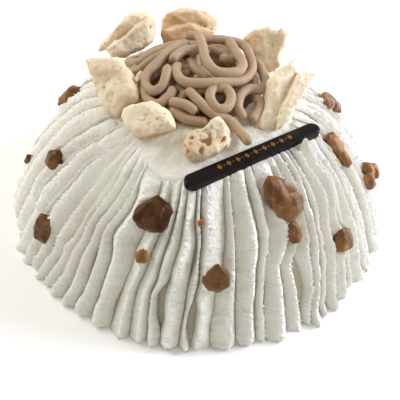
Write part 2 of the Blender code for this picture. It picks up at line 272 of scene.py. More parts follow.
def finish_piece(name, mesh, finish, slot, *nodes, crease=180):
    mesh.name = name
    mesh.shade_smooth()
    if crease < 180:
        mesh.set_sharp_from_angle(angle=math.radians(crease))
    mesh.materials.append(finish.material)
    piece = bpy.data.objects.new(name, mesh)
    bpy.context.scene.collection.objects.link(piece)
    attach(piece, "root")
    if nodes:
        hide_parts(*nodes)
    made_pieces.append(piece)
    triangles = sum(len(face.vertices) - 2 for face in mesh.polygons)
    print(f"{name}: {triangles} triangles")
    return piece


def as_mesh(bm):
    bmesh.ops.recalc_face_normals(bm, faces=bm.faces)
    mesh = bpy.data.meshes.new("piece")
    bm.to_mesh(mesh)
    bm.free()
    return mesh


print("pieces ride on the root body of", len(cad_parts), "nodes")

# %% [markdown]
# Cream, noodles and loops of paste are all soft strokes: one outline pushed along a path.  A
# path needs only a few knots, with an even, smooth line drawn through them.

# %% Smooth paths
def smooth_path(knots, spacing):
    """Evenly spaced points on a smooth line through the knots."""
    knots = [Vector(knot) for knot in knots]
    knots = [2 * knots[0] - knots[1]] + knots + [2 * knots[-1] - knots[-2]]
    dense = []
    for before, start, stop, after in zip(knots, knots[1:], knots[2:], knots[3:]):
        span = (stop - start).length
        leave = (stop - before) / ((start - before).length + span)
        arrive = (after - start) / ((after - stop).length + span)
        curve = interpolate_bezier(start, start + leave * span / 3,
                                   stop - arrive * span / 3, stop, 14)
        dense += curve[:-1]
    dense.append(knots[-2])
    total = sum((b - a).length for a, b in zip(dense, dense[1:]))
    pieces = max(2, round(total / spacing))
    even = [dense[0]]
    walked = 0.0
    for a, b in zip(dense, dense[1:]):
        length = (b - a).length
        while len(even) < pieces and walked + length >= len(even) * total / pieces:
            share = (len(even) * total / pieces - walked) / length
            even.append(a.lerp(b, share))
        walked += length
    even.append(dense[-1])
    return even


def ease(value):
    """0 below 0, 1 above 1 and a soft rise between."""
    value = max(0.0, min(1.0, value))
    return value * value * (3 - 2 * value)


print("a path of 10 mm has", len(smooth_path([(0, 0, 0), (10, 0, 0)], 1.0)), "points")

# %% [markdown]
# The dome's slope is a curve of crest radius against height.  Measured along that curve, a
# place on the dome is an azimuth and an arc length from the foot.

# %% The slope of the dome
CREST_KNOTS = ((119, 0), (116.5, 5), (112.5, 14), (106.5, 26), (99.5, 40), (90, 54),
               (79.5, 66), (70.5, 75), (60, 81), (44, 85), (24, 87), (8, 87.5), (0, 87.5))
WIDER = 1.06
SLOPE_STEP = 0.5
slope = smooth_path([(radius, height, 0) for radius, height in CREST_KNOTS], SLOPE_STEP)
slope_length = (len(slope) - 1) * SLOPE_STEP


def slope_at(arc):
    """Crest point (radius, height) and outward direction at an arc length, all in mm."""
    place = max(0.0, min(len(slope) - 1.001, arc / SLOPE_STEP))
    start = slope[int(place)]
    stop = slope[int(place) + 1]
    run = (stop - start).normalized()
    return start.lerp(stop, place - int(place)), Vector((run.y, -run.x))


def on_dome(azimuth, arc, out=0.0):
    """A point on the oval dome, in mm.  Azimuth 0 is the front and + is to the right."""
    point, outward = slope_at(arc)
    radius = point.x + outward.x * out
    height = point.y + outward.y * out
    return Vector((math.sin(azimuth) * radius * WIDER, -math.cos(azimuth) * radius, height))


def arc_of_height(height):
    return next(i for i, point in enumerate(slope) if point.y >= height) * SLOPE_STEP


SHOULDER_HEIGHT = 81
SHOULDER_ARC = arc_of_height(SHOULDER_HEIGHT)
print(f"the slope is {slope_length:.0f} mm long, its shoulder at {SHOULDER_ARC:.0f} mm")

# %% [markdown]
# Cream settles where the chocolate stick lies on it.  The same rule lifts or lowers every
# cream point near the stick, so the stick neither floats nor sinks out of sight.  At its right
# end one soft peak of cream stands up against it.

# %% The bed of the chocolate stick
STICK_LENGTH = 85.0
STICK_WIDTH = 8.6
STICK_THICK = 5.2
STICK_MIDDLE = (28.2, -45.6, 82.0)
STICK_TURN = 34.2
STICK_RISE = 0.6
STICK_RUN = 60
SEAT_REACH = 15.0
SEAT_LOWEST = 66
SEAT_SINK = 1.0
SEAT_MOVE = 4.0
PEAK_FOOT = Vector((57.5, -39.5, 78.0))
PEAK_LIFT = Vector((-3.5, 2.0, 10.5))
PEAK_REACH = 4.2


def settle_under_stick(point):
    run = point.x - STICK_MIDDLE[0]
    line_y = STICK_MIDDLE[1] + run * math.tan(math.radians(STICK_TURN))
    line_z = STICK_MIDDLE[2] + run * STICK_RISE / STICK_RUN
    off = abs(point.y - line_y) * math.cos(math.radians(STICK_TURN))
    past = max(0.0, abs(run) - STICK_LENGTH * 0.36)
    near = 1.0 - math.hypot(off, past) / SEAT_REACH
    if point.z > SEAT_LOWEST and near > 0:
        move = max(-SEAT_MOVE, min(SEAT_MOVE, line_z - SEAT_SINK - point.z))
        point.z += move * ease(near)
    return point + PEAK_LIFT * math.exp(-((point - PEAK_FOOT).length / PEAK_REACH) ** 2)


print("the stick lies at", STICK_MIDDLE, "mm and the peak stands", PEAK_LIFT.z, "mm high")

# %% [markdown]
# Piped cream: each stroke of the bag leaves a ribbon with a rough crest.  The strokes differ in
# width, wander a little and all lean the same way.  Some end early or stay buried, and their
# neighbours close over them.  The edges between strokes are worked out at many levels, as
# shares of the whole turn, so neighbours always meet.

# %% Where the strokes of piping run
RIBBONS = 80
RIBBON_DEPTH = 8.0
LEAN = math.radians(-5.0)
SWAY = 0.24
SQUEEZE = 0.44
LEVEL_STEP = 3.0

rng = random.Random(27)
stroke_widths = [rng.uniform(0.65, 1.35) for _ in range(RIBBONS)]
stroke_looks = [(RIBBON_DEPTH * rng.uniform(0.7, 1.1), rng.uniform(-1.0, 1.0))
                for _ in range(RIBBONS)]
short_strokes = {number: rng.uniform(24, 52) for number in range(3, RIBBONS - 1, 6)}
BURIED_STROKES = (13, 17, 19, 23, 25, 53, 55, 59, 61, 65)
short_strokes.update({number: -20 for number in BURIED_STROKES})


def wander(azimuth, height):
    spot = Vector((math.sin(azimuth) * 1.7, math.cos(azimuth) * 1.7, height / 45))
    return math.radians(3.0) * noise.noise(spot)


def even_edges(arc):
    """Azimuths of the edges between strokes at one arc length, before the listed grooves move
    them.
    """
    height = slope_at(arc)[0].y
    turn = 2 * math.pi / sum(stroke_widths)
    edges = [-math.pi]
    for width in stroke_widths:
        edges.append(edges[-1] + turn * width)
    lean = LEAN * (1 - ease(height / SHOULDER_HEIGHT))
    for number in range(RIBBONS):
        sway = noise.noise(Vector((number * 3.7, height / 36, 5)))
        edges[number] += turn * SWAY * sway * ease(height / 40)
    edges[RIBBONS] = edges[0] + 2 * math.pi
    for number, start in short_strokes.items():
        squeeze = SQUEEZE * stroke_widths[number] * turn * ease((height - start) / 16)
        edges[number] += squeeze
        edges[number + 1] -= squeeze
    return [edge + 0.6 * wander(edge, height) + lean for edge in edges]


print(RIBBONS, "strokes,", len(short_strokes), "of them short or buried")

# %% [markdown]
# The grooves that catch the eye at the front are listed, each as azimuths in degrees at a few
# heights in mm.  The nearest stroke edge moves there and takes its neighbours along.

# %% Bring the strokes to the grooves
GROOVES = (
    ((-58, 5), (-56, 39), (-52, 69), (-46, 82)),
    ((-47, 1), (-43, 33), (-40, 48), (-37, 79)),
    ((-34, 5), (-32, 21), (-31, 51), (-26, 75)),
    ((-22, 10), (-19, 49), (-16, 70)),
    ((-8, 5), (-9, 30), (-7, 41), (-5, 60), (-4, 75)),
    ((-3, 7), (-2, 32), (0, 58), (-1, 67)),
    ((5, 15), (6, 27), (10, 65)),
    ((12, 16), (13, 69)),
    ((20, 16), (21, 41), (25, 62)),
    ((32, 8), (33, 27), (32, 42), (35, 51), (38, 70)),
    ((34, 6), (37, 31), (40, 61), (43, 81)),
    ((45, 7), (49, 49), (55, 65), (52, 79)),
)


def groove_azimuth(groove, height):
    for (wide, low), (narrow, high) in zip(groove, groove[1:]):
        if height <= high:
            share = max(0.0, (height - low) / (high - low))
            return math.radians(wide + (narrow - wide) * ease(share))
    return math.radians(groove[-1][0])


middle_edges = even_edges(40)
groove_edges = {}
for groove in GROOVES:
    aim = groove_azimuth(groove, 35)
    nearest = min((n for n in range(RIBBONS) if n not in groove_edges),
                  key=lambda n: abs(middle_edges[n] - aim))
    groove_edges[nearest] = groove
print(len(groove_edges), "stroke edges are laid by hand")

# %% [markdown]
# An edge between two listed grooves moves by a share of both moves, and past the outermost groove
# the move dies away over a few strokes.  The edges are worked out once at every level, because
# each point of a ribbon asks for them.

# %% The stroke edges at every level
CARRY = 5


def stroke_edges(arc):
    """Stroke edges at one arc length, with the listed grooves in their places."""
    height = slope_at(arc)[0].y
    edges = even_edges(arc)
    moves = {n: groove_azimuth(groove, height) - edges[n] for n, groove in groove_edges.items()}
    known = sorted(moves)
    shifted = []
    for number, edge in enumerate(edges):
        below = max((n for n in known if n <= number), default=None)
        above = min((n for n in known if n >= number), default=None)
        if below is None:
            move = moves[above] * max(0.0, 1 - (above - number) / CARRY)
        elif above is None:
            move = moves[below] * max(0.0, 1 - (number - below) / CARRY)
        else:
            share = (number - below) / max(1, above - below)
            move = moves[below] + (moves[above] - moves[below]) * share
        shifted.append(edge + move)
    return shifted


edge_levels = [stroke_edges(level * LEVEL_STEP)
               for level in range(int(slope_length / LEVEL_STEP) + 2)]


def edge_azimuth(number, arc):
    place = max(0.0, arc / LEVEL_STEP)
    lower = edge_levels[int(place)][number]
    upper = edge_levels[int(place) + 1][number]
    return lower + (upper - lower) * (place - int(place))


print(RIBBONS, "strokes at", len(edge_levels), "levels")

# %% [markdown]
# The ribbons don't reach the middle of the top.  They melt into it just past the shoulder, and
# sooner at the front, where the cream was smoothed for the stick.

# %% Where the ribbons end
HEAD_OVER = 17
HEAD_FADE = 24


def head_arc(azimuth):
    """Arc length where the ribbons melt into the smooth top."""
    smooth_patch = math.exp(-((azimuth + math.radians(9)) / math.radians(20)) ** 2)
    return SHOULDER_ARC + HEAD_OVER - HEAD_OVER * smooth_patch


print("the ribbons end between", round(head_arc(math.radians(-9))), "and",
      round(head_arc(math.pi)), "mm up the slope")

# %% [markdown]
# Here and there two strokes part and the coat shows between them.  Each gap has an azimuth in
# degrees, a lowest and a highest height and a width in mm.

# %% Gaps between strokes
GAPS = ((-8, 8, 42, 3.4), (2, 2, 34, 3.8), (33, 10, 48, 4.2), (-31.5, 18, 52, 2.0),
        (-3, 38, 62, 1.6), (20, 14, 44, 1.8), (47, 8, 30, 2.2), (-52, 4, 34, 1.8),
        (-20, 6, 30, 1.4), (63, 10, 40, 2.4), (112, 12, 44, 3.0), (-118, 10, 40, 3.0),
        (158, 8, 36, 3.0), (-165, 14, 50, 2.6))
gap_at_edge = {}
for azimuth, lowest, highest, wide in GAPS:
    arc = arc_of_height((lowest + highest) / 2)
    nearest = min(range(RIBBONS), key=lambda n: abs(edge_azimuth(n, arc) - math.radians(azimuth)))
    gap_at_edge[nearest] = (arc_of_height(lowest), arc_of_height(highest), wide / 200)


def draw_back(edge, arc):
    """How far, in radians, the strokes on both sides keep away from an edge."""
    if edge not in gap_at_edge:
        return 0.0
    low, high, half = gap_at_edge[edge]
    return half * ease((arc - low) / 14) * ease((high - arc) / 14)


print(len(gap_at_edge), "gaps")

# %% [markdown]
# Chestnuts are pushed in while the cream is soft, and it rises in a low rim round each.  Right
# beneath them it is pressed in, so that it doesn't show through their dents.  The plain solids
# of the chestnuts give the middles and sizes.

# %% Where the chestnuts press
RIM_HEIGHT = 1.3
RIM_REACH = 4.0
PRESS_DEPTH = 2.6
chestnut_spots = []
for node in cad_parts:
    if node.startswith("chestnut"):
        low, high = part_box(node)
        half = (high - low) / 2
        chestnut_spots.append(((low + high) / 2 / MM, half / MM))


def beyond_chestnut(point):
    """Distance in mm from a point to the nearest chestnut's skin, and the chestnut's size."""
    nearest = (99.0, 0.0)
    for middle, half in chestnut_spots:
        away = point - middle
        if abs(away.x) < 24 and abs(away.y) < 24:
            share = Vector((away.x / half.x, away.y / half.y, away.z / half.z)).length
            radius = sum(half) / 3
            nearest = min(nearest, ((share - 1) * radius, radius))
    return nearest


def rim(point):
    beyond, radius = beyond_chestnut(point)
    raised = RIM_HEIGHT * ease(1 - abs(beyond) / RIM_REACH) * min(1.0, radius / 7)
    return raised - PRESS_DEPTH * ease((-beyond - 0.8) / 3.0)


print(len(chestnut_spots), "chestnuts press into the cream")

# %% [markdown]
# One blank tube serves for all strokes.  It starts as a capped cone primitive with equal
# radii, its upright edges are cut into rings, and each vertex remembers its ring and side.

# %% A blank tube to bend
def blank_tube(sides, rings):
    bm = bmesh.new()
    bmesh.ops.create_cone(bm, cap_ends=True, segments=sides, radius1=1, radius2=1, depth=1)
    uprights = [e for e in bm.edges if abs(e.verts[0].co.z - e.verts[1].co.z) > 0.5]
    bmesh.ops.subdivide_edges(bm, edges=uprights, cuts=rings - 2)
    ring_layer = bm.verts.layers.int.new("ring")
    side_layer = bm.verts.layers.int.new("side")
    for vert in bm.verts:
        vert[ring_layer] = round((vert.co.z + 0.5) * (rings - 1))
        turn = math.atan2(-vert.co.x, vert.co.y) / (2 * math.pi)
        vert[side_layer] = round(turn * sides) % sides
    mesh = bpy.data.meshes.new("blank")
    bm.to_mesh(mesh)
    bm.free()
    return mesh


def add_stroke(bm, blank, spot):
    """Adds a bent copy of the blank; spot gives a point in mm for each ring and side."""
    first = len(bm.verts)
    bm.from_mesh(blank)
    bm.verts.ensure_lookup_table()
    ring_layer = bm.verts.layers.int["ring"]
    side_layer = bm.verts.layers.int["side"]
    for vert in bm.verts[first:]:
        vert.co = spot(vert[ring_layer], vert[side_layer]) * MM
    return bm.verts[first:]


def new_strokes():
    """An empty bmesh whose points will keep their ring and side."""
    bm = bmesh.new()
    bm.verts.layers.int.new("ring")
    bm.verts.layers.int.new("side")
    return bm


print("strokes can be bent from a blank tube")

# %% [markdown]
# A ribbon's outline has a steep root on either side and two flat faces that meet in a crest.
# On the left of the cake the crest sits over the left root, so each ribbon overlaps its
# neighbour like a shingle.  Elsewhere the crest is nearer the middle.

# %% The outline of a ribbon
FACE_STEPS = (1.0, 0.78, 0.56, 0.36, 0.2, 0.1, 0.04)


def ribbon_outline(crest, root, flat):
    """Shares across, outward and away from the crest, from the left root to the right root."""
    def face(edge, along):
        return (crest + (edge - crest) * along, 1 - (1 - root) * along ** flat, along)
    return ([(0.12, -0.55, 1), (0.03, -0.1, 1), (0.0, 0.15, 1)]
            + [face(0.02, along) for along in FACE_STEPS] + [(crest, 1.0, 0)]
            + [face(0.98, along) for along in reversed(FACE_STEPS)]
            + [(1.0, 0.15, 1), (0.97, -0.1, 1), (0.88, -0.55, 1)])


RIBBON_SIDES = len(ribbon_outline(0.5, 0.3, 1.0))
RIBBON_RINGS = 172
ribbon_blank = blank_tube(RIBBON_SIDES, RIBBON_RINGS)


def left_side(azimuth):
    """0 at the front of the cake and 1 on its left."""
    return ease((math.radians(-12) - azimuth) / math.radians(30))


def right_side(azimuth):
    """0 at the front of the cake and 1 on its right."""
    return ease((azimuth - math.radians(30)) / math.radians(30))


def crest_share(azimuth, draw):
    """Where the crest sits across the ribbon: by the left root on the left of the cake."""
    left = left_side(azimuth)
    spread = 0.26 * ease(1 - abs(azimuth - math.radians(3)) / math.radians(60)) + 0.06
    draw = math.copysign(0.4 + 0.6 * abs(draw), draw)
    return 0.5 - 0.33 * left - 0.14 * right_side(azimuth) + spread * (1 - 0.75 * left) * draw


print("a ribbon has", RIBBON_SIDES, "sides and", RIBBON_RINGS, "rings")

# %% [markdown]
# Stiff cream tears as it leaves the nozzle.  A row of beads runs along the crest, strong in
# some places and almost gone in others, and the faces carry dents and torn bubbles.  Noise at
# the place on the cake gives both, so no two ribbons are alike.

# %% The beads and the grain of a ribbon
BEAD = 2.7
BEAD_DEPTH = 1.5


def bead_height(seed, arc):
    """The torn, beaded edge that stiff cream gets as it leaves the nozzle."""
    drift = 1.2 * noise.noise(Vector((seed * 5.1, arc / 7.0, 2.0)))
    phase = arc / BEAD + seed * 0.37 + drift
    rise = ease(1 - 2 * abs(phase - math.floor(phase) - 0.5))
    strength = 0.2 + 1.6 * abs(noise.noise(Vector((seed * 2.3, arc / 6.0, 7.0))))
    return BEAD_DEPTH * strength * (rise - 0.5)


def face_grain(point):
    """Dents, wrinkles and torn bubbles on the faces of a ribbon, for a point in mm."""
    tear = max(0.0, noise.noise(point / 1.7) - 0.1)
    return 0.75 * noise.noise(point / 7.0) + 0.5 * noise.noise(point / 2.6) - 0.9 * tear


print("beads are about", BEAD, "mm apart")

# %% [markdown]
# Each ribbon draws its own foot, head, crest and bluntness, and then bends the blank tube ring
# by ring.  It starts blunt and jagged, flares a little at the foot, gives way to chestnuts,
# gaps and the stick, and fades into the smooth top at its head.

# %% Bend one ribbon
FOOT_REACH = 2.6
FOOT_FLARE = 9.0


def pipe_ribbon(bm, groove_shade_layer, number, draw):
    depth, reach = stroke_looks[number]
    middle = (edge_azimuth(number, 40) + edge_azimuth(number + 1, 40)) / 2
    front = ease(1 - abs(middle - math.radians(5)) / math.radians(60))
    crest = crest_share(middle, draw.uniform(-1, 1))
    root = 0.3 + 0.14 * right_side(middle)
    shingled = left_side(middle)
    flat = 1.0 + 0.45 * shingled + draw.uniform(0.0, 0.8) * front * (1 - shingled)
    outline = ribbon_outline(crest, root, flat)
    lean_side = -1 if crest < 0.5 else 1
    foot = draw.uniform(-1.5, 2.6) + 1.8 * front * draw.random() ** 2
    head = head_arc(middle) + draw.uniform(-6.0, 5.0)
    proud = draw.uniform(-1.6, 0.6)
    blunt = draw.uniform(0.6, 1.0)
    tip_side = draw.uniform(0.25, 0.75)

    def spot(ring, side):
        across, rise, from_crest = outline[side]
        arc = foot + (head - foot) * ring / (RIBBON_RINGS - 1)
        left = edge_azimuth(number, arc) + draw_back(number, arc)
        right = edge_azimuth(number + 1, arc) - draw_back(number + 1, arc)
        above_foot = arc - foot
        taper = blunt + (1 - blunt) * math.sqrt(min(1.0, above_foot / 7.0))
        across = tip_side + (across - tip_side) * taper
        azimuth = left + (right - left) * across
        fade = ease((head - arc) / HEAD_FADE)
        full = depth * (0.7 + 0.3 * taper) * (1.1 - 0.36 * front)
        full *= 1 - 0.4 * front * max(0.0, 1 - above_foot / 14)
        out = proud * fade - (1 - rise) * full * fade ** 1.7 - 1.8 * (1 - fade) ** 2
        surface = on_dome(azimuth, arc)
        pressed = rim(surface)
        bead = bead_height(number, arc) * (0.25 + 0.75 * fade)
        bead *= 1 - abs(pressed) / PRESS_DEPTH
        bead *= (1 + 0.8 * front) * max(0.0, 1 - from_crest / 0.16)
        out += bead + pressed + face_grain(surface) * (0.3 + 0.7 * fade)
        azimuth += 0.006 * bead * lean_side
        out -= 1.8 * max(0.0, 1 - above_foot / 3.5) ** 2
        flare = max(0.0, 1.0 - max(0.0, arc) / FOOT_FLARE)
        out += FOOT_REACH * reach * flare * max(0.0, rise)
        point = on_dome(azimuth, arc, out)
        point.z = max(point.z, 0.6 * surface.z)
        jag = 3.0 * noise.noise(Vector((number * 3.3, outline[side][0] * 6.0, 1.0)))
        point.z = max(0.0, point.z + jag * max(0.0, 1 - above_foot / 4.5))
        return settle_under_stick(point)

    # Each point keeps how deep it lies in the groove; the cream finish paints that as painted
    # shade, and the crest as a painted highlight.
    for vert in add_stroke(bm, ribbon_blank, spot):
        rise = outline[vert[bm.verts.layers.int["side"]]][1]
        vert[groove_shade_layer] = 1 - max(0.0, min(1.0, rise))


print("a ribbon flares within", FOOT_FLARE, "mm of its foot")

# %% [markdown]
# The ribbons are piped in four quarters of the cake, each one mesh of twenty strokes.  The
# cream finish comes later, so the meshes wait in a dictionary.

# %% Pipe the ribbons
draw = random.Random(5)
quarters = {"piping_back_left": range(0, 20), "piping_front_left": range(20, 40),
            "piping_front_right": range(40, 60), "piping_back_right": range(60, 80)}
cream_meshes = {}
for quarter, numbers in quarters.items():
    bm = new_strokes()
    groove_shade_layer = bm.verts.layers.float.new("groove")
    for number in numbers:
        pipe_ribbon(bm, groove_shade_layer, number, draw)
    cream_meshes[quarter] = as_mesh(bm)
    print(quarter, "has", len(cream_meshes[quarter].vertices), "points")

# %% [markdown]
# Under the ribbons lies the coat that the baker spread first.  It is pressed in where ribbons
# cover it and rippled where the palette knife left it bare, most of all in front of the stick.

# %% The surface of the coat
COAT_INSET = 0.8


def rough_patch(point):
    """The cream torn by the knife in front of the stick."""
    return math.exp(-(((point.x + 2) / 22) ** 2 + ((point.y + 74) / 9) ** 2))


def coat_cover(azimuth, arc):
    """1 where ribbons hide the coat, falling to 0 past their heads."""
    return ease((head_arc(azimuth) - arc) / HEAD_FADE)


def coat_spot(azimuth, arc):
    covered = coat_cover(azimuth, arc)
    inset = RIBBON_DEPTH * COAT_INSET * covered
    flat = on_dome(azimuth, arc)
    smear = Vector((flat.x, flat.y * 2.2, flat.z))
    ripple = 1.3 * noise.noise(flat / 13) + 0.6 * noise.noise(smear / 5.0)
    ripple += 0.4 * noise.noise(flat / 1.9) * (0.4 + rough_patch(flat))
    point = on_dome(azimuth, arc, ripple * (1 - 0.5 * covered) - inset + rim(flat))
    point.z = max(point.z, 0.75 * flat.z)
    return settle_under_stick(point)


print("the coat lies", RIBBON_DEPTH * COAT_INSET, "mm in under the ribbons")

# %% [markdown]
# The coat is one turned surface: a line of vertices along the slope is spun round the axis.
# Each vertex remembers its arc length through the spin, and then takes its place.

# %% Spin the coat
COAT_STEPS = 110
COAT_TURNS = 440
bm = bmesh.new()
groove_shade_layer = bm.verts.layers.float.new("groove")
arc_layer = bm.verts.layers.float.new("arc")
chain = []
for step in range(COAT_STEPS + 1):
    arc = slope_length * step / COAT_STEPS
    point = slope_at(arc)[0]
    vert = bm.verts.new((0, -point.x * MM, point.y * MM))
    vert[arc_layer] = arc
    chain.append(vert)
foot_middle = bm.verts.new((0, 0, 0))
foot_middle[arc_layer] = -1
chain.insert(0, foot_middle)
edges = [bm.edges.new(pair) for pair in zip(chain, chain[1:])]
bmesh.ops.spin(bm, geom=chain + edges, cent=(0, 0, 0), axis=(0, 0, 1),
               angle=2 * math.pi, steps=COAT_TURNS, use_merge=True)
bmesh.ops.remove_doubles(bm, verts=bm.verts, dist=0.01 * MM)
for vert in bm.verts:
    arc = vert[arc_layer]
    if arc < 0:
        continue
    azimuth = math.atan2(vert.co.x, -vert.co.y)
    vert.co = coat_spot(azimuth, arc) * MM
    vert.co.z = 0 if arc == 0 else max(0.0, vert.co.z)
    # Painted shade on the coat: darker where ribbons cover it, lighter near the foot.
    vert[groove_shade_layer] = 0.25 + 0.7 * coat_cover(azimuth, arc) * ease(arc / 14)
cream_meshes["cream_coat"] = as_mesh(bm)
print("the coat has", len(cream_meshes["cream_coat"].vertices), "points")

# %% [markdown]
# Syrup weeps out of the candied chestnuts and tints the cream round and below them.  Each
# cream point gets a share from 0 to 1 by its distance to the nearest chestnut.

# %% Syrup stains
SYRUP_REACH = 2.6


def stain(mesh):
    layer = mesh.attributes.new("syrup", "FLOAT", "POINT")
    shares = [1 - ease(beyond_chestnut(vert.co / MM)[0] / SYRUP_REACH)
              for vert in mesh.vertices]
    layer.data.foreach_set("value", shares)
    return max(shares)


for name, mesh in cream_meshes.items():
    print(name, "syrup up to", round(stain(mesh), 2))

# %% [markdown]
# Whipped cream is almost white and lets light in a little, so shadows in its folds turn soft.
# Light and shade are also painted into its colour: the crests are painted lighter as a painted
# highlight, and the faces towards the grooves, the deep folds and the coat between the ribbons
# are painted darker and slightly yellow as painted shade.  Its surface is dull with a faint wet
# sheen and a fine broken grain.  The bare top is a little more buttery, and where the ribbons
# melt together at the front left the cream is painted whiter.

# %% The cream finish
WHITER_MIDDLE = Vector((-36, -57, 69))
WHITER_FULL, WHITER_REACH = 14 * MM, 34 * MM
BARE_FROM, BARE_FULL = 79 * MM, 88 * MM

cream = Finish("whipped_cream", Specular_IOR_Level=0.25, Subsurface_Weight=0.3,
               Subsurface_Radius=(1.0, 0.85, 0.6), Subsurface_Scale=2.2 * MM, IOR=1.4)
groove = cream.attribute("groove")
height = cream.node("SeparateXYZ", {}, {0: cream.place}, out="Z")
patches = cream.speckle(16, 2)
fresh = cream.blend(patches, paint(227, 225, 217), paint(236, 234, 227))
bubbles = cream.step(cream.speckle(1.9, 3, 0.6), 0.53, 0.7)
fresh = cream.blend(bubbles * 0.5, fresh, paint(204, 200, 187))
# Painted highlight: the crests are painted lighter than the rest of each ribbon.
with_crest_highlight = cream.blend(1 - cream.step(groove, 0.0, 0.22), fresh, paint(244, 243, 238))
# Painted shade: the faces are painted darker towards the groove.
faces = cream.blend(cream.step(groove, 0.1, 0.7) * 0.6, with_crest_highlight, paint(208, 203, 188))
# The cream is painted whiter in a patch at the front left, below the bare top.
far = cream.node("VectorMath", {"operation": "DISTANCE"},
                 {0: cream.place, 1: WHITER_MIDDLE * MM}, out="Value")
whiter_patch = 1 - cream.step(far, WHITER_FULL, WHITER_REACH)
whiter_patch = whiter_patch * (1 - cream.step(height, BARE_FROM, 84 * MM))
faces = cream.blend(whiter_patch * 0.75, faces, paint(250, 249, 242))
# Painted shade: the deepest parts of the grooves and the covered coat are painted a dark olive.
with_fold_shade = cream.blend(cream.step(groove, 0.65, 1.0) * 0.85, faces, paint(184, 176, 151))
butter = cream.step(height, BARE_FROM, BARE_FULL) * 0.55
with_fold_shade = cream.blend(butter, with_fold_shade, paint(226, 219, 194))
syrup = cream.attribute("syrup") * cream.step(cream.speckle(5, 2), 0.25, 0.65)
cream.wear(Base_Color=cream.blend((syrup * 0.5).clamped(), with_fold_shade, paint(216, 186, 130)))
grain = cream.speckle(1.1, 4, 0.6) * 0.6 + cream.speckle(2.6, 2) * 0.5
cream.wear(Roughness=0.5 + cream.speckle(3, 2) * 0.2, Normal=cream.relief(grain, 1.2))

for name, mesh in cream_meshes.items():
    finish_piece(name, mesh, cream, "cream", "cream_dome", crease=75)

# %% [markdown]
# The nest is chestnut paste pushed through a press.  The noodles that show are given one by one:
# each is a short list of knots in mm, from one end to the other.

# %% The noodles that show
NOODLES = (
    ((-46, 21, 90.5), (-38, 12.5, 96), (-31, 17, 99), (-20, 24, 101)),
    ((-39.5, 2, 95), (-31, 8, 99.5), (-22, 16, 101.5)),
    ((-9.5, 20, 104), (-19, 14, 105), (-25, 3, 104), (-31, -5, 101),
     (-31.5, -12, 98.5), (-27, -17, 98), (-22.5, -15, 100), (-20.5, -7, 103.5),
     (-21, -3, 104)),
    ((-2.5, 13, 106), (-11.5, 10.5, 106.5), (-16, 6, 106), (-18.5, 1, 105.5)),
    ((-15, 1, 103.5), (-15.5, -6, 103), (-11, -13.5, 102.5), (-1, -14, 102.5),
     (10, -11, 102), (20, -6, 100), (26, 5, 99), (26, 18, 99), (22, 31, 99.5),
     (11, 33, 101), (-3, 31, 102.5)),
    ((-12, 28, 105.5), (-5, 25, 107), (-2, 12, 108), (0, 0, 108), (6, -7.5, 106),
     (17, -5, 104.5), (20.5, 2, 104.5), (18, 10, 105.5), (13, 29, 103)),
    ((8, 10, 103), (18, 11.5, 101)),
    ((-9.5, 8, 102), (-5, 0, 101.5), (3, -6, 100)),
    ((-16.5, -15, 99.5), (-18, -19, 97.5), (-24.5, -23, 94), (-30.5, -18, 94),
     (-33, -10, 96)),
    ((-18, -22.5, 96), (-9, -25, 96), (-3.5, -28, 94)),
    ((-17.5, -25, 92.5), (-8, -29.5, 90.5), (2.5, -30, 89.5)),
    ((-9, -16.5, 100), (-3, -22.5, 97.5), (5, -27.5, 93.5), (14, -29, 90.5),
     (19, -34, 88.8), (24.5, -43.5, 88.3)),
    ((9, -12.5, 99.5), (4, -15.5, 100), (3.5, -21, 98), (7.5, -26, 95.5), (12.5, -24.5, 95.5),
     (14.5, -18.5, 98), (11, -13.5, 100), (6.5, -14.5, 100)),
    ((29, 27, 93), (33, 11, 95), (34, 0.5, 94.5), (31, -6.5, 95), (25, -8, 96.5),
     (20, -13.5, 96), (18.5, -21, 93.5), (22, -26.5, 90.5)),
    ((28.5, -10, 93.5), (31, -15, 90.5), (26, -26.5, 89)),
    ((-38, 26, 90), (-28, 36, 91), (-12, 41, 91), (4, 42, 91), (18, 39, 91)),
    ((-36, -2, 91), (-37, -10, 90), (-33, -18, 89.5)),
)
print(len(NOODLES), "noodles laid by eye")

# %% [markdown]
# A noodle is a round outline swept along its knots.  The press leaves it a little uneven in
# thickness and lumpy, and its ends are torn and taper off in the last two rings.

# %% Press a noodle
NOODLE = 5.4
NOODLE_SIDES = 14
NOODLE_STEP = 1.1
END_SHARES = (0.62, 0.93)


def press_noodle(bm, knots, number):
    """Sweeps a round outline along the knots, with uneven sides and torn ends."""
    path = smooth_path(knots, NOODLE_STEP)
    last = len(path) - 1

    def spot(ring, side):
        ahead = path[min(last, ring + 1)] - path[max(0, ring - 1)]
        ahead.normalize()
        across = ahead.cross(Vector((0, 0, 1))).normalized()
        above = across.cross(ahead)
        turn = 2 * math.pi * side / NOODLE_SIDES
        from_end = min(ring, last - ring)
        radius = NOODLE / 2 * (1 + 0.05 * noise.noise(Vector((number * 4.7, ring / 9, 3))))
        if from_end < len(END_SHARES):
            radius *= END_SHARES[from_end]
        away = across * math.cos(turn) + above * math.sin(turn)
        lump = noise.noise(path[ring] / 2.4 + away * 1.1 + Vector((number, 0, 0)))
        radius += 0.16 * lump
        torn = 0.9 * noise.noise(Vector((number * 2.9, side * 0.9, ring)))
        return path[ring] + away * radius + ahead * torn * (from_end < len(END_SHARES))

    blank = blank_tube(NOODLE_SIDES, len(path))
    add_stroke(bm, blank, spot)
    bpy.data.meshes.remove(blank)


bm = new_strokes()
for number, knots in enumerate(NOODLES):
    press_noodle(bm, knots, number)
print("noodles are", NOODLE, "mm thick and have", len(bm.verts), "points")

# %% [markdown]
# More strands fill the nest below those.  Each starts at one place of a sunflower spiral, which
# spreads them evenly, wanders over the mound in short steps and is held back at its edge.

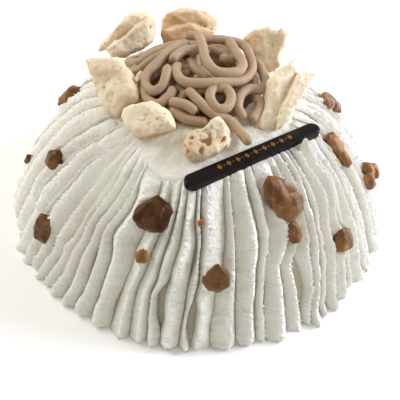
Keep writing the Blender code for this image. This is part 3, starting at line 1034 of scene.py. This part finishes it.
# %% Fill the nest below
MOUND_MIDDLE = Vector((-6, 12))
MOUND_HALF = (45, 46, 36)
MOUND_TOP = 105.0
MOUND_FALL = 15.0
FILLERS = 26
FILLER_DROP = 5.2
FILLER_SPREAD = 34
FILLER_STEP = 8
MOUND_EDGE = 36


def mound_height(x, y):
    far = MOUND_HALF[1] if y < MOUND_MIDDLE.y else MOUND_HALF[2]
    share = ((x - MOUND_MIDDLE.x) / MOUND_HALF[0]) ** 2 + ((y - MOUND_MIDDLE.y) / far) ** 2
    return MOUND_TOP - MOUND_FALL * min(1.3, share) ** 1.4


draw = random.Random(11)
for number in range(FILLERS):
    heading = draw.uniform(0, 2 * math.pi)
    out = FILLER_SPREAD * math.sqrt((number + 0.5) / FILLERS)
    where = MOUND_MIDDLE + Vector((math.cos(number * 2.4), math.sin(number * 2.4))) * out
    knots = []
    for _ in range(5):
        x, y = where
        knots.append((x, y, mound_height(x, y) - FILLER_DROP + draw.uniform(-1.2, 0.8)))
        heading += draw.uniform(-0.9, 0.9)
        where = where + Vector((math.cos(heading), math.sin(heading))) * FILLER_STEP
        away = where - MOUND_MIDDLE
        where = MOUND_MIDDLE + away * min(1.0, MOUND_EDGE / max(1.0, away.length))
    press_noodle(bm, knots, 40 + number)
noodle_mesh = as_mesh(bm)
print(FILLERS, "strands lie under them")

# %% [markdown]
# A rough core closes the gaps between the strands.  It is painted a darker paste than the
# noodles, as painted shade in the gaps between them, and only has to look doughy, so it is a ball
# primitive pressed into the shape of the mound.

# %% The core of the nest
CORE_SHARE = 0.9
CORE_BELOW = 5.6
CORE_FOOT = 80.0
bm = bmesh.new()
bmesh.ops.create_icosphere(bm, subdivisions=5, radius=1)
for vert in bm.verts:
    x, y, z = vert.co
    far = MOUND_HALF[1] if y < 0 else MOUND_HALF[2]
    top = MOUND_TOP - MOUND_FALL * (x * x + y * y) ** 1.4 - CORE_BELOW
    spot = Vector((x * MOUND_HALF[0] * CORE_SHARE + MOUND_MIDDLE.x,
                   y * far * CORE_SHARE + MOUND_MIDDLE.y,
                   top if z > 0.01 else CORE_FOOT))
    if z > 0.01:
        spot.z += 1.1 * noise.noise(spot / 4.0)
    vert.co = spot * MM
core_mesh = as_mesh(bm)
print("the core has", len(core_mesh.vertices), "points")

# %% [markdown]
# Chestnut paste is a taupe brown, dull and smooth, with fine wrinkles across and small
# darker flecks of chestnut.

# %% The paste finish
paste = Finish("chestnut_paste", Roughness=0.55, Subsurface_Weight=0.08,
               Subsurface_Radius=(1.0, 0.6, 0.4), Subsurface_Scale=1.5 * MM)
tone = paste.speckle(9, 3)
paste_colour = paste.blend(tone, paint(162, 134, 106), paint(186, 159, 131))
flecks = paste.step(paste.speckle(1.1, 2), 0.64, 0.72)
paste.wear(Base_Color=paste.blend(flecks * 0.35, paste_colour, paint(120, 86, 60)))
paste.wear(Roughness=0.48 + tone * 0.16,
           Normal=paste.relief(paste.speckle(1.0, 4, 0.6) + paste.speckle(3.0, 2) * 0.7, 0.4))
finish_piece("nest_noodles", noodle_mesh, paste, "paste", "noodle_nest")

# Painted shade: the core is painted a darker brown than the noodles.
paste_in_painted_shade = Finish("paste_in_painted_shade", Roughness=0.7)
paste_in_painted_shade.wear(Base_Color=paste_in_painted_shade.blend(paste_in_painted_shade.speckle(4, 3), paint(96, 66, 44),
                                            paint(124, 90, 62)),
                Normal=paste_in_painted_shade.relief(paste_in_painted_shade.speckle(1.6, 4, 0.6), 0.3))
finish_piece("nest_core", core_mesh, paste_in_painted_shade, "paste")

# %% [markdown]
# Broken meringues start as soft-edged slabs: an outline face is grown through layers, small
# at the back and front and full in the middle.

# %% Slabs grown from an outline
PILLOW_LAYERS = ((-0.5, 0.66), (-0.42, 0.85), (-0.25, 0.96), (0.0, 1.0), (0.25, 0.96),
                 (0.42, 0.85), (0.5, 0.66))


def grow_slab(bm, outline, thick, shift=0.0):
    cap = bm.faces.new([bm.verts.new(Vector((x, y, 0)) * MM) for x, y in outline])
    made = list(cap.verts)
    centre = Matrix.Translation(-cap.calc_center_median())
    old_depth, old_size = 0.0, 1.0
    for layer, (depth, size) in enumerate(PILLOW_LAYERS):
        if layer:
            grown = bmesh.ops.extrude_face_region(bm, geom=[cap])["geom"]
            if layer > 1:
                bmesh.ops.delete(bm, geom=[cap], context="FACES_ONLY")
            cap = next(f for f in grown if isinstance(f, bmesh.types.BMFace))
            made += cap.verts
        ratio = size / old_size
        ring = list(cap.verts)
        bmesh.ops.scale(bm, vec=(ratio, ratio, 1), space=centre, verts=ring)
        bmesh.ops.translate(bm, vec=(0, 0, (depth - old_depth) * thick * MM), verts=ring)
        old_depth, old_size = depth, size
    bmesh.ops.translate(bm, vec=(0, 0, shift * MM), verts=made)


print("a slab grows through", len(PILLOW_LAYERS), "layers")

# %% [markdown]
# A voxel remesh fuses the slabs or lobes of one piece into a single fine skin, which can be
# crumbled, cracked and pitted point by point.  It leaves small steps, so the skin is rubbed
# smooth before that.

# %% One skin round a piece
def remeshed(bm, voxel):
    """One closed fine skin round everything in the bmesh."""
    mesh = as_mesh(bm)
    rough = bpy.data.objects.new("rough", mesh)
    bpy.context.scene.collection.objects.link(rough)
    remesh = rough.modifiers.new("skin", "REMESH")
    remesh.mode = "VOXEL"
    remesh.voxel_size = voxel * MM
    graph = bpy.context.evaluated_depsgraph_get()
    skin = bpy.data.meshes.new_from_object(rough.evaluated_get(graph))
    bpy.data.objects.remove(rough, do_unlink=True)
    bpy.data.meshes.remove(mesh)
    fine = bmesh.new()
    fine.from_mesh(skin)
    bpy.data.meshes.remove(skin)
    return fine


def rub_smooth(bm, passes):
    for _ in range(passes):
        bmesh.ops.smooth_vert(bm, verts=bm.verts, factor=0.5, use_axis_x=True,
                              use_axis_y=True, use_axis_z=True)


print("slabs and lobes can be fused")

# %% [markdown]
# Each meringue has a middle, a turn about the upright, a lean back, a thickness and the
# outlines of its slabs as steps across and up in its own plane, in mm.

# %% The outlines of the meringues
MERINGUES = {
    "meringue_back_left": ((-48.8, 45.3, 94.5), 8, 28, 19, (
        ((-19, -10), (-17, -5.5), (-8, 4), (-1, 10), (7, 14), (13, 12), (15, 8),
         (1, 0.5), (-12, -8.5)),
        ((-15, -8), (-1, 1.5), (13.5, 10.5), (17, 7), (17.5, 1), (15, -5), (9, -8.5),
         (-1.5, -13.5), (-12, -13.5)))),
    "meringue_back": ((-11.3, 53.8, 96), 0, 28, 17, (
        ((-18, -1), (-18, 4), (-13.5, 8), (-5.5, 11), (0, 11.5), (10, 9.5),
         (17.5, 4.5), (17.5, -0.5), (0, 2)),
        ((-18, -2), (-9, 2), (4, 3), (16.5, -0.5), (11, -8), (-2, -11.5),
         (-15, -11.5)))),
    "meringue_back_right": ((36.2, 35.2, 96), -10, 28, 11, (
        ((-14.5, 4), (-10, 8.5), (0, 14), (4, 11.5), (8, 15.5), (11, 10), (11, 3.5),
         (9.5, -4.5), (11.5, -9.5), (4, -15), (-4, -13), (-10.5, -5.5)),)),
    "meringue_right": ((41.6, -11.6, 94), 20, 45, 12, (
        ((12.5, 19.5), (13, 14), (9, 4), (0, -8), (-9, -18), (-18, -17),
         (-17, -10.5), (-11, -6), (-7.5, 1.5), (-3.5, 11), (3.5, 15.5)),
        ((21.5, 10), (17, 6.5), (9, -3.5), (3, -8), (-0.5, -13), (-8, -18),
         (-4, -8), (4, 4), (11, 12)))),
    "meringue_left": ((-49, -8.8, 94), -25, 42, 13, (
        ((-22, 8.5), (-13, 12.5), (-1, 15), (8, 9), (14.5, 2.5), (17, -2.5),
         (11, -8.5), (9, -15.5), (3.5, -15.5), (-4.5, -10.5), (-13, -1.5)),)),
    "meringue_front_left": ((-28.5, -32.8, 91), -15, 55, 12, (
        ((-14.5, -2.5), (-13.5, 2.5), (-9.5, 7), (0, 9.5), (8, 7.5), (13, 3.5),
         (15.5, -0.5), (11, -4.5), (5, -8.5), (-3, -10), (-9.5, -6.5)),)),
    "meringue_front": ((2.7, -44.3, 89.5), 0, 50, 13, (
        ((-11.5, -3.5), (-9.5, 3), (-3, 6), (3, 4), (10, 4), (12, 0), (11, -3.5),
         (5.5, -6.5), (-1, -10.5), (-8.5, -10.5), (-11.5, -7.5)),
        ((-3, 5), (0.5, 10), (4.5, 11.5), (9, 9.5), (11, 5), (10, 0), (4, -1),
         (-1, 1)))),
}
TOASTED = {"meringue_back_left": 0.25, "meringue_back": 0.8, "meringue_back_right": 0.5,
           "meringue_right": 0.1, "meringue_left": 0.35, "meringue_front_left": 0.25,
           "meringue_front": 0.45}
print(len(MERINGUES), "meringues stand round the nest")

# %% [markdown]
# Meringue breaks along dry, uneven planes.  Crumbling moves each point of the fine skin out or
# in: wide ridges and dents, a crack where one noise crosses zero, small round holes, and caves
# below the rounded top, deep in the front piece and faint in the others.  Each point keeps how
# hollow it is, which the finish paints as painted shade, and how toasted it is, with more towards
# its foot.

# %% Crumble the skin of a meringue
CRACK_DEPTH = 0.7
HOLE_DEPTH = 0.9
CAVE_DEPTH = 1.7
CAVES_BELOW = 0.86
DARKER_FOOT = 12.0


def crumble(bm, seed, pitted, toasted):
    """Broken planes, dents, caves and pores.  Hollows are stored as a share of painted shade, and
    toast grows towards the foot.
    """
    pit_shade_layer = bm.verts.layers.float.new("pit_shade")
    toast_layer = bm.verts.layers.float.new("toast")
    bottom = min(vert.co.z for vert in bm.verts) / MM
    tall = max(vert.co.z for vert in bm.verts) / MM - bottom
    bm.normal_update()
    shift = Vector((seed * 3.1, seed * 1.7, seed * 0.9))
    moves = []
    for vert in bm.verts:
        spot = vert.co / MM + shift
        ridge = 0.25 - abs(noise.noise(spot / 13.0 + Vector((1, 7, 3))))
        dent = 2.6 * ridge + 0.5 * noise.noise(spot / 4.0) + 0.25 * noise.noise(spot / 1.8)
        crack = ease(1 - abs(noise.noise(spot / 9.0 + Vector((6, 1, 3)))) / 0.035)
        dent -= CRACK_DEPTH * crack * ease(noise.noise(spot / 5.0) / 0.15)
        distances, _ = noise.voronoi(spot / 4.2)
        hole = max(0.0, 1 - distances[0] / 0.22) * (noise.noise(spot / 7.0) > 0.2 - pitted)
        above = vert.co.z / MM - bottom
        cave = ease((noise.noise(spot / 3.4 + Vector((4, 8, 1))) - 0.5 + pitted * 0.35) / 0.16)
        cave *= ease((CAVES_BELOW - above / tall) / 0.12)
        depth = HOLE_DEPTH * hole + CAVE_DEPTH * cave * pitted
        middle = sum((edge.other_vert(vert).co for edge in vert.link_edges), Vector())
        hollow = (middle / len(vert.link_edges) - vert.co).dot(vert.normal) / MM
        moves.append((vert, vert.normal * (dent - depth) * MM))
        # Painted shade: hollows, holes and caves get a share that the finish paints dark tan.
        vert[pit_shade_layer] = min(1.0, 0.8 * ease(hollow / 0.09) + hole + cave * pitted)
        # Each piece is also painted darker towards its foot.
        low_edge = ease(1 - above / DARKER_FOOT)
        vert[toast_layer] = toasted + 0.6 * low_edge - 0.1
    for vert, move in moves:
        vert.co += move


print("cracks are", CRACK_DEPTH, "mm deep and caves up to", CAVE_DEPTH, "mm")

# %% [markdown]
# Some pieces are two slabs.  In the layered ones they lie one behind the other, as in a torn
# shell, and in the front piece they share a plane.  The slabs are tilted into place before the
# remesh, so the fine skin is made where it stays.

# %% Break one meringue
MERINGUE_VOXEL = 0.62
LAYERED = ("meringue_back_left", "meringue_back", "meringue_right")
SLAB_STEP = 2.3


def break_meringue(number, name, middle, turn, lean, thick, outlines):
    bm = bmesh.new()
    for order, outline in enumerate(outlines):
        step = SLAB_STEP * (2 * order - 1) if name in LAYERED else 0.0
        grow_slab(bm, outline, thick, step)
    tilt = Matrix.Translation(Vector(middle) * MM)
    tilt = tilt @ Matrix.Rotation(math.radians(turn), 4, "Z")
    tilt = tilt @ Matrix.Rotation(math.radians(90 - lean), 4, "X")
    bmesh.ops.transform(bm, matrix=tilt, verts=bm.verts)
    fine = remeshed(bm, MERINGUE_VOXEL)
    rub_smooth(fine, 2)
    crumble(fine, number, 0.9 if name == "meringue_front" else 0.1, TOASTED[name])
    return as_mesh(fine)


print(len(LAYERED), "of the meringues have two layers", SLAB_STEP * 2, "mm apart")

# %% [markdown]
# Meringue is dry and matt: pale cream outside and toasted to tan in places, darker towards the
# foot of each piece, with a few orange-pink streaks.  Its cracks and hollows are painted a darker
# tan as painted shade.

# %% The meringue finish
meringue = Finish("baked_meringue", Roughness=0.82, Subsurface_Weight=0.12,
                  Subsurface_Radius=(1.0, 0.8, 0.6), Subsurface_Scale=1.5 * MM)
pit_shade = meringue.attribute("pit_shade")
bake = meringue.speckle(11, 3)
toast = meringue.attribute("toast") + bake * 1.5 - 0.75
crust = meringue.blend(toast.clamped(), paint(236, 223, 198), paint(200, 160, 114))
blush = meringue.step(meringue.speckle(5, 3), 0.58, 0.74) * 0.5
crust = meringue.blend(blush, crust, paint(222, 168, 124))
# Painted shade: the hollows are painted dark tan.
meringue.wear(Base_Color=meringue.blend(pit_shade.clamped(), crust, paint(184, 134, 88)))
meringue.wear(Roughness=0.74 + bake * 0.2,
              Normal=meringue.relief(meringue.speckle(0.8, 5, 0.65)
                                     + meringue.speckle(2.4, 3) * 0.8, 0.16))
for number, (name, sizes) in enumerate(MERINGUES.items()):
    finish_piece(name.replace("meringue", "shell"), break_meringue(number, name, *sizes),
                 meringue, "meringue", name)

# %% [markdown]
# One thin sliver of meringue has fallen between the left piece and the noodles.  It is a single
# small slab, leaning on them.

# %% A fallen sliver
SLIVER = ((-4.0, -1.2), (-1.0, -2.0), (3.6, -0.6), (4.2, 0.6), (0.6, 1.7), (-3.4, 1.0))
bm = bmesh.new()
grow_slab(bm, SLIVER, 1.8)
lay = Matrix.Translation(Vector((-36.0, -7.6, 100.0)) * MM)
lay = lay @ Matrix.Rotation(math.radians(68), 4, "Z") @ Matrix.Rotation(math.radians(35), 4, "X")
bmesh.ops.transform(bm, matrix=lay, verts=bm.verts)
sliver = remeshed(bm, 0.35)
crumble(sliver, 8, 0.0, 0.1)
finish_piece("shell_sliver", as_mesh(sliver), meringue, "meringue")

# %% [markdown]
# Candied chestnuts are broken lumps of one to three lobes, wet with syrup.  Each has a paleness
# and its lobes: an azimuth in degrees, a height and a step outward, and three sizes, in mm.

# %% The lumps of candied chestnut
CHESTNUTS = {
    "chestnut_back_left": (0.55, (-103, 64, 0, 19, 17, 13)),
    "chestnut_left": (0.3, (-67, 60, 0, 13, 13, 9)),
    "chestnut_left_edge": (0.4, (-86, 33, 1, 6, 9, 6)),
    "chestnut_left_low": (0.2, (-53, 32, 0, 16, 19, 10)),
    "chestnut_front": (0.0, (-15.4, 66, 0, 22.5, 22, 12)),
    "chestnut_front_bit": (0.9, (-16, 49, 0, 8, 9, 6)),
    "chestnut_crumb": (1.0, (1.5, 66, 0, 4, 5, 4)),
    "chestnut_front_low": (0.25, (6.2, 43, 0, 16, 16, 9)),
    "chestnut_right": (0.4, (33.5, 67.5, 0, 19, 18, 11), (30.5, 74, 1, 14, 15, 9)),
    "chestnut_right_bit": (0.55, (32.5, 55.5, 0, 8, 12, 8)),
    "chestnut_right_low": (0.45, (51, 38, 0, 16, 16, 10)),
    "chestnut_right_high": (0.85, (74, 71, 0, 11, 19, 8), (72, 64.5, 0.5, 7, 14, 7)),
    "chestnut_back_right": (0.65, (104, 72, 1, 15, 13, 9), (108, 65, 1, 11, 25, 9)),
    "chestnut_right_edge": (0.75, (86, 37, 3.5, 11, 11, 10), (83.5, 43, 2.5, 11, 11, 8),
                            (80.5, 39, 1.5, 9, 15, 8)),
}
print(len(CHESTNUTS), "chestnuts, the first", CHESTNUTS["chestnut_back_left"][1][3], "mm wide")

# %% [markdown]
# A lobe is set on the slope as a sticker is on a ball: a frame at its place has one axis
# across, one up the slope and one outward.  The slope is taken with straight sides here,
# because the solid chestnuts were set on one.

# %% A frame on the slope
def crest_radius(height):
    for (wide, low), (narrow, high) in zip(CREST_KNOTS, CREST_KNOTS[1:]):
        if height <= high:
            return wide + (narrow - wide) * (height - low) / (high - low)


def round_dome(azimuth, radius, height):
    return Vector((math.sin(azimuth) * radius * WIDER, -math.cos(azimuth) * radius, height)) * MM


def slope_frame(azimuth, height, out):
    """Frame on the dome: across, up the slope and outward."""
    turn = math.radians(azimuth)
    radius = crest_radius(height)
    lower = round_dome(turn, crest_radius(height - 3), height - 3)
    upper = round_dome(turn, crest_radius(height + 3), height + 3)
    across = round_dome(turn + 0.02, radius, height) - round_dome(turn - 0.02, radius, height)
    across.normalize()
    outward = across.cross((upper - lower).normalized()).normalized()
    tilt = Matrix((across, outward.cross(across), outward)).transposed().to_4x4()
    tilt.translation = round_dome(turn, radius, height) + outward * out * MM
    return tilt


print("the crest is", round(crest_radius(60), 1), "mm from the middle at 60 mm up")

# %% [markdown]
# A broken lump has a few flat breaks with blunt edges between them.  The hull of points that
# are scattered on an oval has just that, so each lobe starts as one.

# %% Break a lump
LUMP_POINTS = 17


def add_lump(bm, tilt, size, seed):
    draw = random.Random(seed)
    half = [side / 2 * MM for side in size]
    lump = bmesh.new()
    for step in range(LUMP_POINTS):
        level = 1 - 2 * (step + 0.5) / LUMP_POINTS
        spin = step * 2.4 + draw.uniform(-0.35, 0.35)
        flat = math.sqrt(1 - level * level)
        shrink = draw.uniform(0.78, 1.06)
        lump.verts.new((half[0] * flat * shrink * math.cos(spin),
                        half[1] * flat * shrink * math.sin(spin),
                        half[2] * level * shrink))
    hull = bmesh.ops.convex_hull(lump, input=lump.verts)
    inside = [v for v in hull["geom_interior"] if isinstance(v, bmesh.types.BMVert)]
    bmesh.ops.delete(lump, geom=inside, context="VERTS")
    bmesh.ops.transform(lump, matrix=tilt, verts=lump.verts)
    mesh = as_mesh(lump)
    bm.from_mesh(mesh)
    bpy.data.meshes.remove(mesh)


print("lumps are hulls of", LUMP_POINTS, "points")

# %% [markdown]
# The outer side of each lobe is cut flat.  Remeshing melts the lobes into one and smoothing
# rounds the breaks as the syrup does.  The skin then moves out again by what the smoothing
# took, and small lumps are smoothed less.

# %% Candy the chestnuts
CUT_SHARE = 0.62
CHESTNUT_VOXEL = 0.42
LARGE_LUMP = 10
LARGE_PASSES = 4
SMOOTHED_OFF = 0.7


def candy_chestnut(name, paleness, lobes):
    bm = bmesh.new()
    for order, (azimuth, height, out, *size) in enumerate(lobes):
        tilt = slope_frame(azimuth, height, out)
        first = len(bm.verts)
        add_lump(bm, tilt, size, sum(map(ord, name)) + order)
        bm.verts.ensure_lookup_table()
        for vert in bm.verts[first:]:
            inside = tilt.inverted() @ vert.co
            inside.z = min(inside.z, CUT_SHARE * size[2] / 2 * MM)
            vert.co = tilt @ inside
    fine = remeshed(bm, CHESTNUT_VOXEL)
    pale_layer = fine.verts.layers.float.new("pale")
    passes = LARGE_PASSES if max(lobes[0][3:]) > LARGE_LUMP else 1
    rub_smooth(fine, passes)
    fine.normal_update()
    moves = []
    for vert in fine.verts:
        spot = vert.co / MM
        bump = 0.45 * noise.noise(spot / 4.5) + 0.12 * noise.noise(spot / 1.6)
        moves.append((vert, vert.normal * (bump + SMOOTHED_OFF * passes / LARGE_PASSES) * MM))
    for vert, move in moves:
        vert.co += move
        vert[pale_layer] = paleness
    return as_mesh(fine)


print("the skin of a chestnut has points about", CHESTNUT_VOXEL, "mm apart")

# %% [markdown]
# Candied chestnut is dark amber and glossy, from deep brown to honey by the paleness given to
# each lump.  That paleness is partly the candy's own tone and partly a painted glow, standing in
# for light shining through thin pieces.

# %% The chestnut finish
candied = Finish("candied_chestnut", Roughness=0.3, Subsurface_Weight=0.25,
                 Subsurface_Radius=(1.0, 0.4, 0.15), Subsurface_Scale=2.5 * MM,
                 Specular_IOR_Level=0.2, Coat_Weight=0.06, Coat_Roughness=0.2)
layers = candied.speckle(6, 3, 0.5, (1, 1, 0.5))
# Partly painted glow: the paleness given per lump stands for light shining through thin pieces as
# well as the candy's own tone.
pale = candied.attribute("pale")
deep = candied.blend(pale, paint(56, 29, 8), paint(128, 84, 44))
light = candied.blend(pale, paint(86, 52, 22), paint(172, 124, 76))
amber = candied.blend(candied.step(layers, 0.35, 0.65), deep, light)
spots = candied.step(candied.speckle(7, 2), 0.62, 0.7)
candied.wear(Base_Color=candied.blend(spots * 0.4, amber, paint(158, 122, 80)))
candied.wear(Roughness=0.3 + layers * 0.25,
             Normal=candied.relief(candied.speckle(1.2, 3) + candied.speckle(3.5, 2), 0.14))
for name, (paleness, *lobes) in CHESTNUTS.items():
    finish_piece(name.replace("chestnut", "candied"), candy_chestnut(name, paleness, lobes),
                 candied, "chestnut", name)

# %% [markdown]
# The chocolate stick is a moulded bar with round ends and a narrow bevel.  Its top carries a
# plain row of small gold lozenges, raised by the thickness of a foil.

# %% Mould the chocolate stick
STICK_BEVEL = 1.1


def stick_frame():
    rise = math.atan2(STICK_RISE, STICK_RUN)
    turn = Matrix.Rotation(math.radians(STICK_TURN), 4, "Z")
    return (Matrix.Translation(Vector(STICK_MIDDLE) * MM) @ turn
            @ Matrix.Rotation(-rise, 4, "Y"))


bm = bmesh.new()
bmesh.ops.create_circle(bm, cap_ends=True, segments=48, radius=STICK_WIDTH / 2 * MM)
reach = (STICK_LENGTH - STICK_WIDTH) / 2 * MM
for vert in bm.verts:
    vert.co.x += math.copysign(reach, vert.co.x + 1e-9)
bmesh.ops.translate(bm, vec=(0, 0, -STICK_THICK / 2 * MM), verts=bm.verts)
grown = bmesh.ops.extrude_face_region(bm, geom=bm.faces[:])["geom"]
bmesh.ops.translate(bm, vec=(0, 0, STICK_THICK * MM),
                    verts=[v for v in grown if isinstance(v, bmesh.types.BMVert)])
rims = [e for e in bm.edges if abs(e.verts[0].co.z - e.verts[1].co.z) < 1e-6]
bmesh.ops.bevel(bm, geom=rims, offset=STICK_BEVEL * MM, segments=4, profile=0.5, affect="EDGES",
                material=-1)
bmesh.ops.transform(bm, matrix=stick_frame(), verts=bm.verts)
stick_mesh = as_mesh(bm)
print("the stick is", STICK_LENGTH, "mm long and", STICK_WIDTH, "mm wide")

# %% [markdown]
# Dark chocolate is nearly black and only softly shiny once it has been handled, with a faint
# uneven bloom.

# %% The chocolate finish
chocolate = Finish("dark_chocolate", Roughness=0.3, Specular_IOR_Level=0.15)
bloom = chocolate.speckle(6, 3)
chocolate.wear(Base_Color=chocolate.blend(bloom, paint(13, 9, 8), paint(23, 16, 14)),
               Roughness=0.2 + bloom * 0.2,
               Normal=chocolate.relief(chocolate.speckle(1.6, 3), 0.12))
finish_piece("stick", stick_mesh, chocolate, "chocolate", "chocolate_stick", crease=40)

# %% [markdown]
# The ornament is cut from thin four-sided discs: large lozenges with a small one between.

# %% The gold ornament
LOZENGES = 9
LOZENGE_GAP = 5.6
bm = bmesh.new()
for number in range(2 * LOZENGES - 1):
    large = number % 2 == 0
    made = bmesh.ops.create_cone(bm, cap_ends=True, segments=4, depth=0.16 * MM,
                                 radius1=(1.9 if large else 0.7) * MM,
                                 radius2=(1.8 if large else 0.6) * MM)["verts"]
    bmesh.ops.scale(bm, vec=(0.75, 1.0, 1.0), verts=made)
    along = (number - LOZENGES + 1) * LOZENGE_GAP / 2
    bmesh.ops.translate(bm, vec=(along * MM, 0, (STICK_THICK / 2 + 0.06) * MM), verts=made)
bmesh.ops.transform(bm, matrix=stick_frame(), verts=bm.verts)
gilt = Finish("gold_dust", Roughness=0.45, Metallic=0.6)
dust = gilt.speckle(0.8, 3)
gilt.wear(Base_Color=gilt.blend(dust, paint(122, 78, 36), paint(168, 112, 58)))
finish_piece("gold_lozenges", as_mesh(bm), gilt, "chocolate", crease=30)

# %% [markdown]
# The dressed cake has to stay the size of the solid model, so its box is measured and printed at
# the end.

# %% Measure the dressed cake
low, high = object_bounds()
print("the dressed cake measures", [round(side / MM, 1) for side in high - low], "mm")
print(len(made_pieces), "pieces dress the frame")
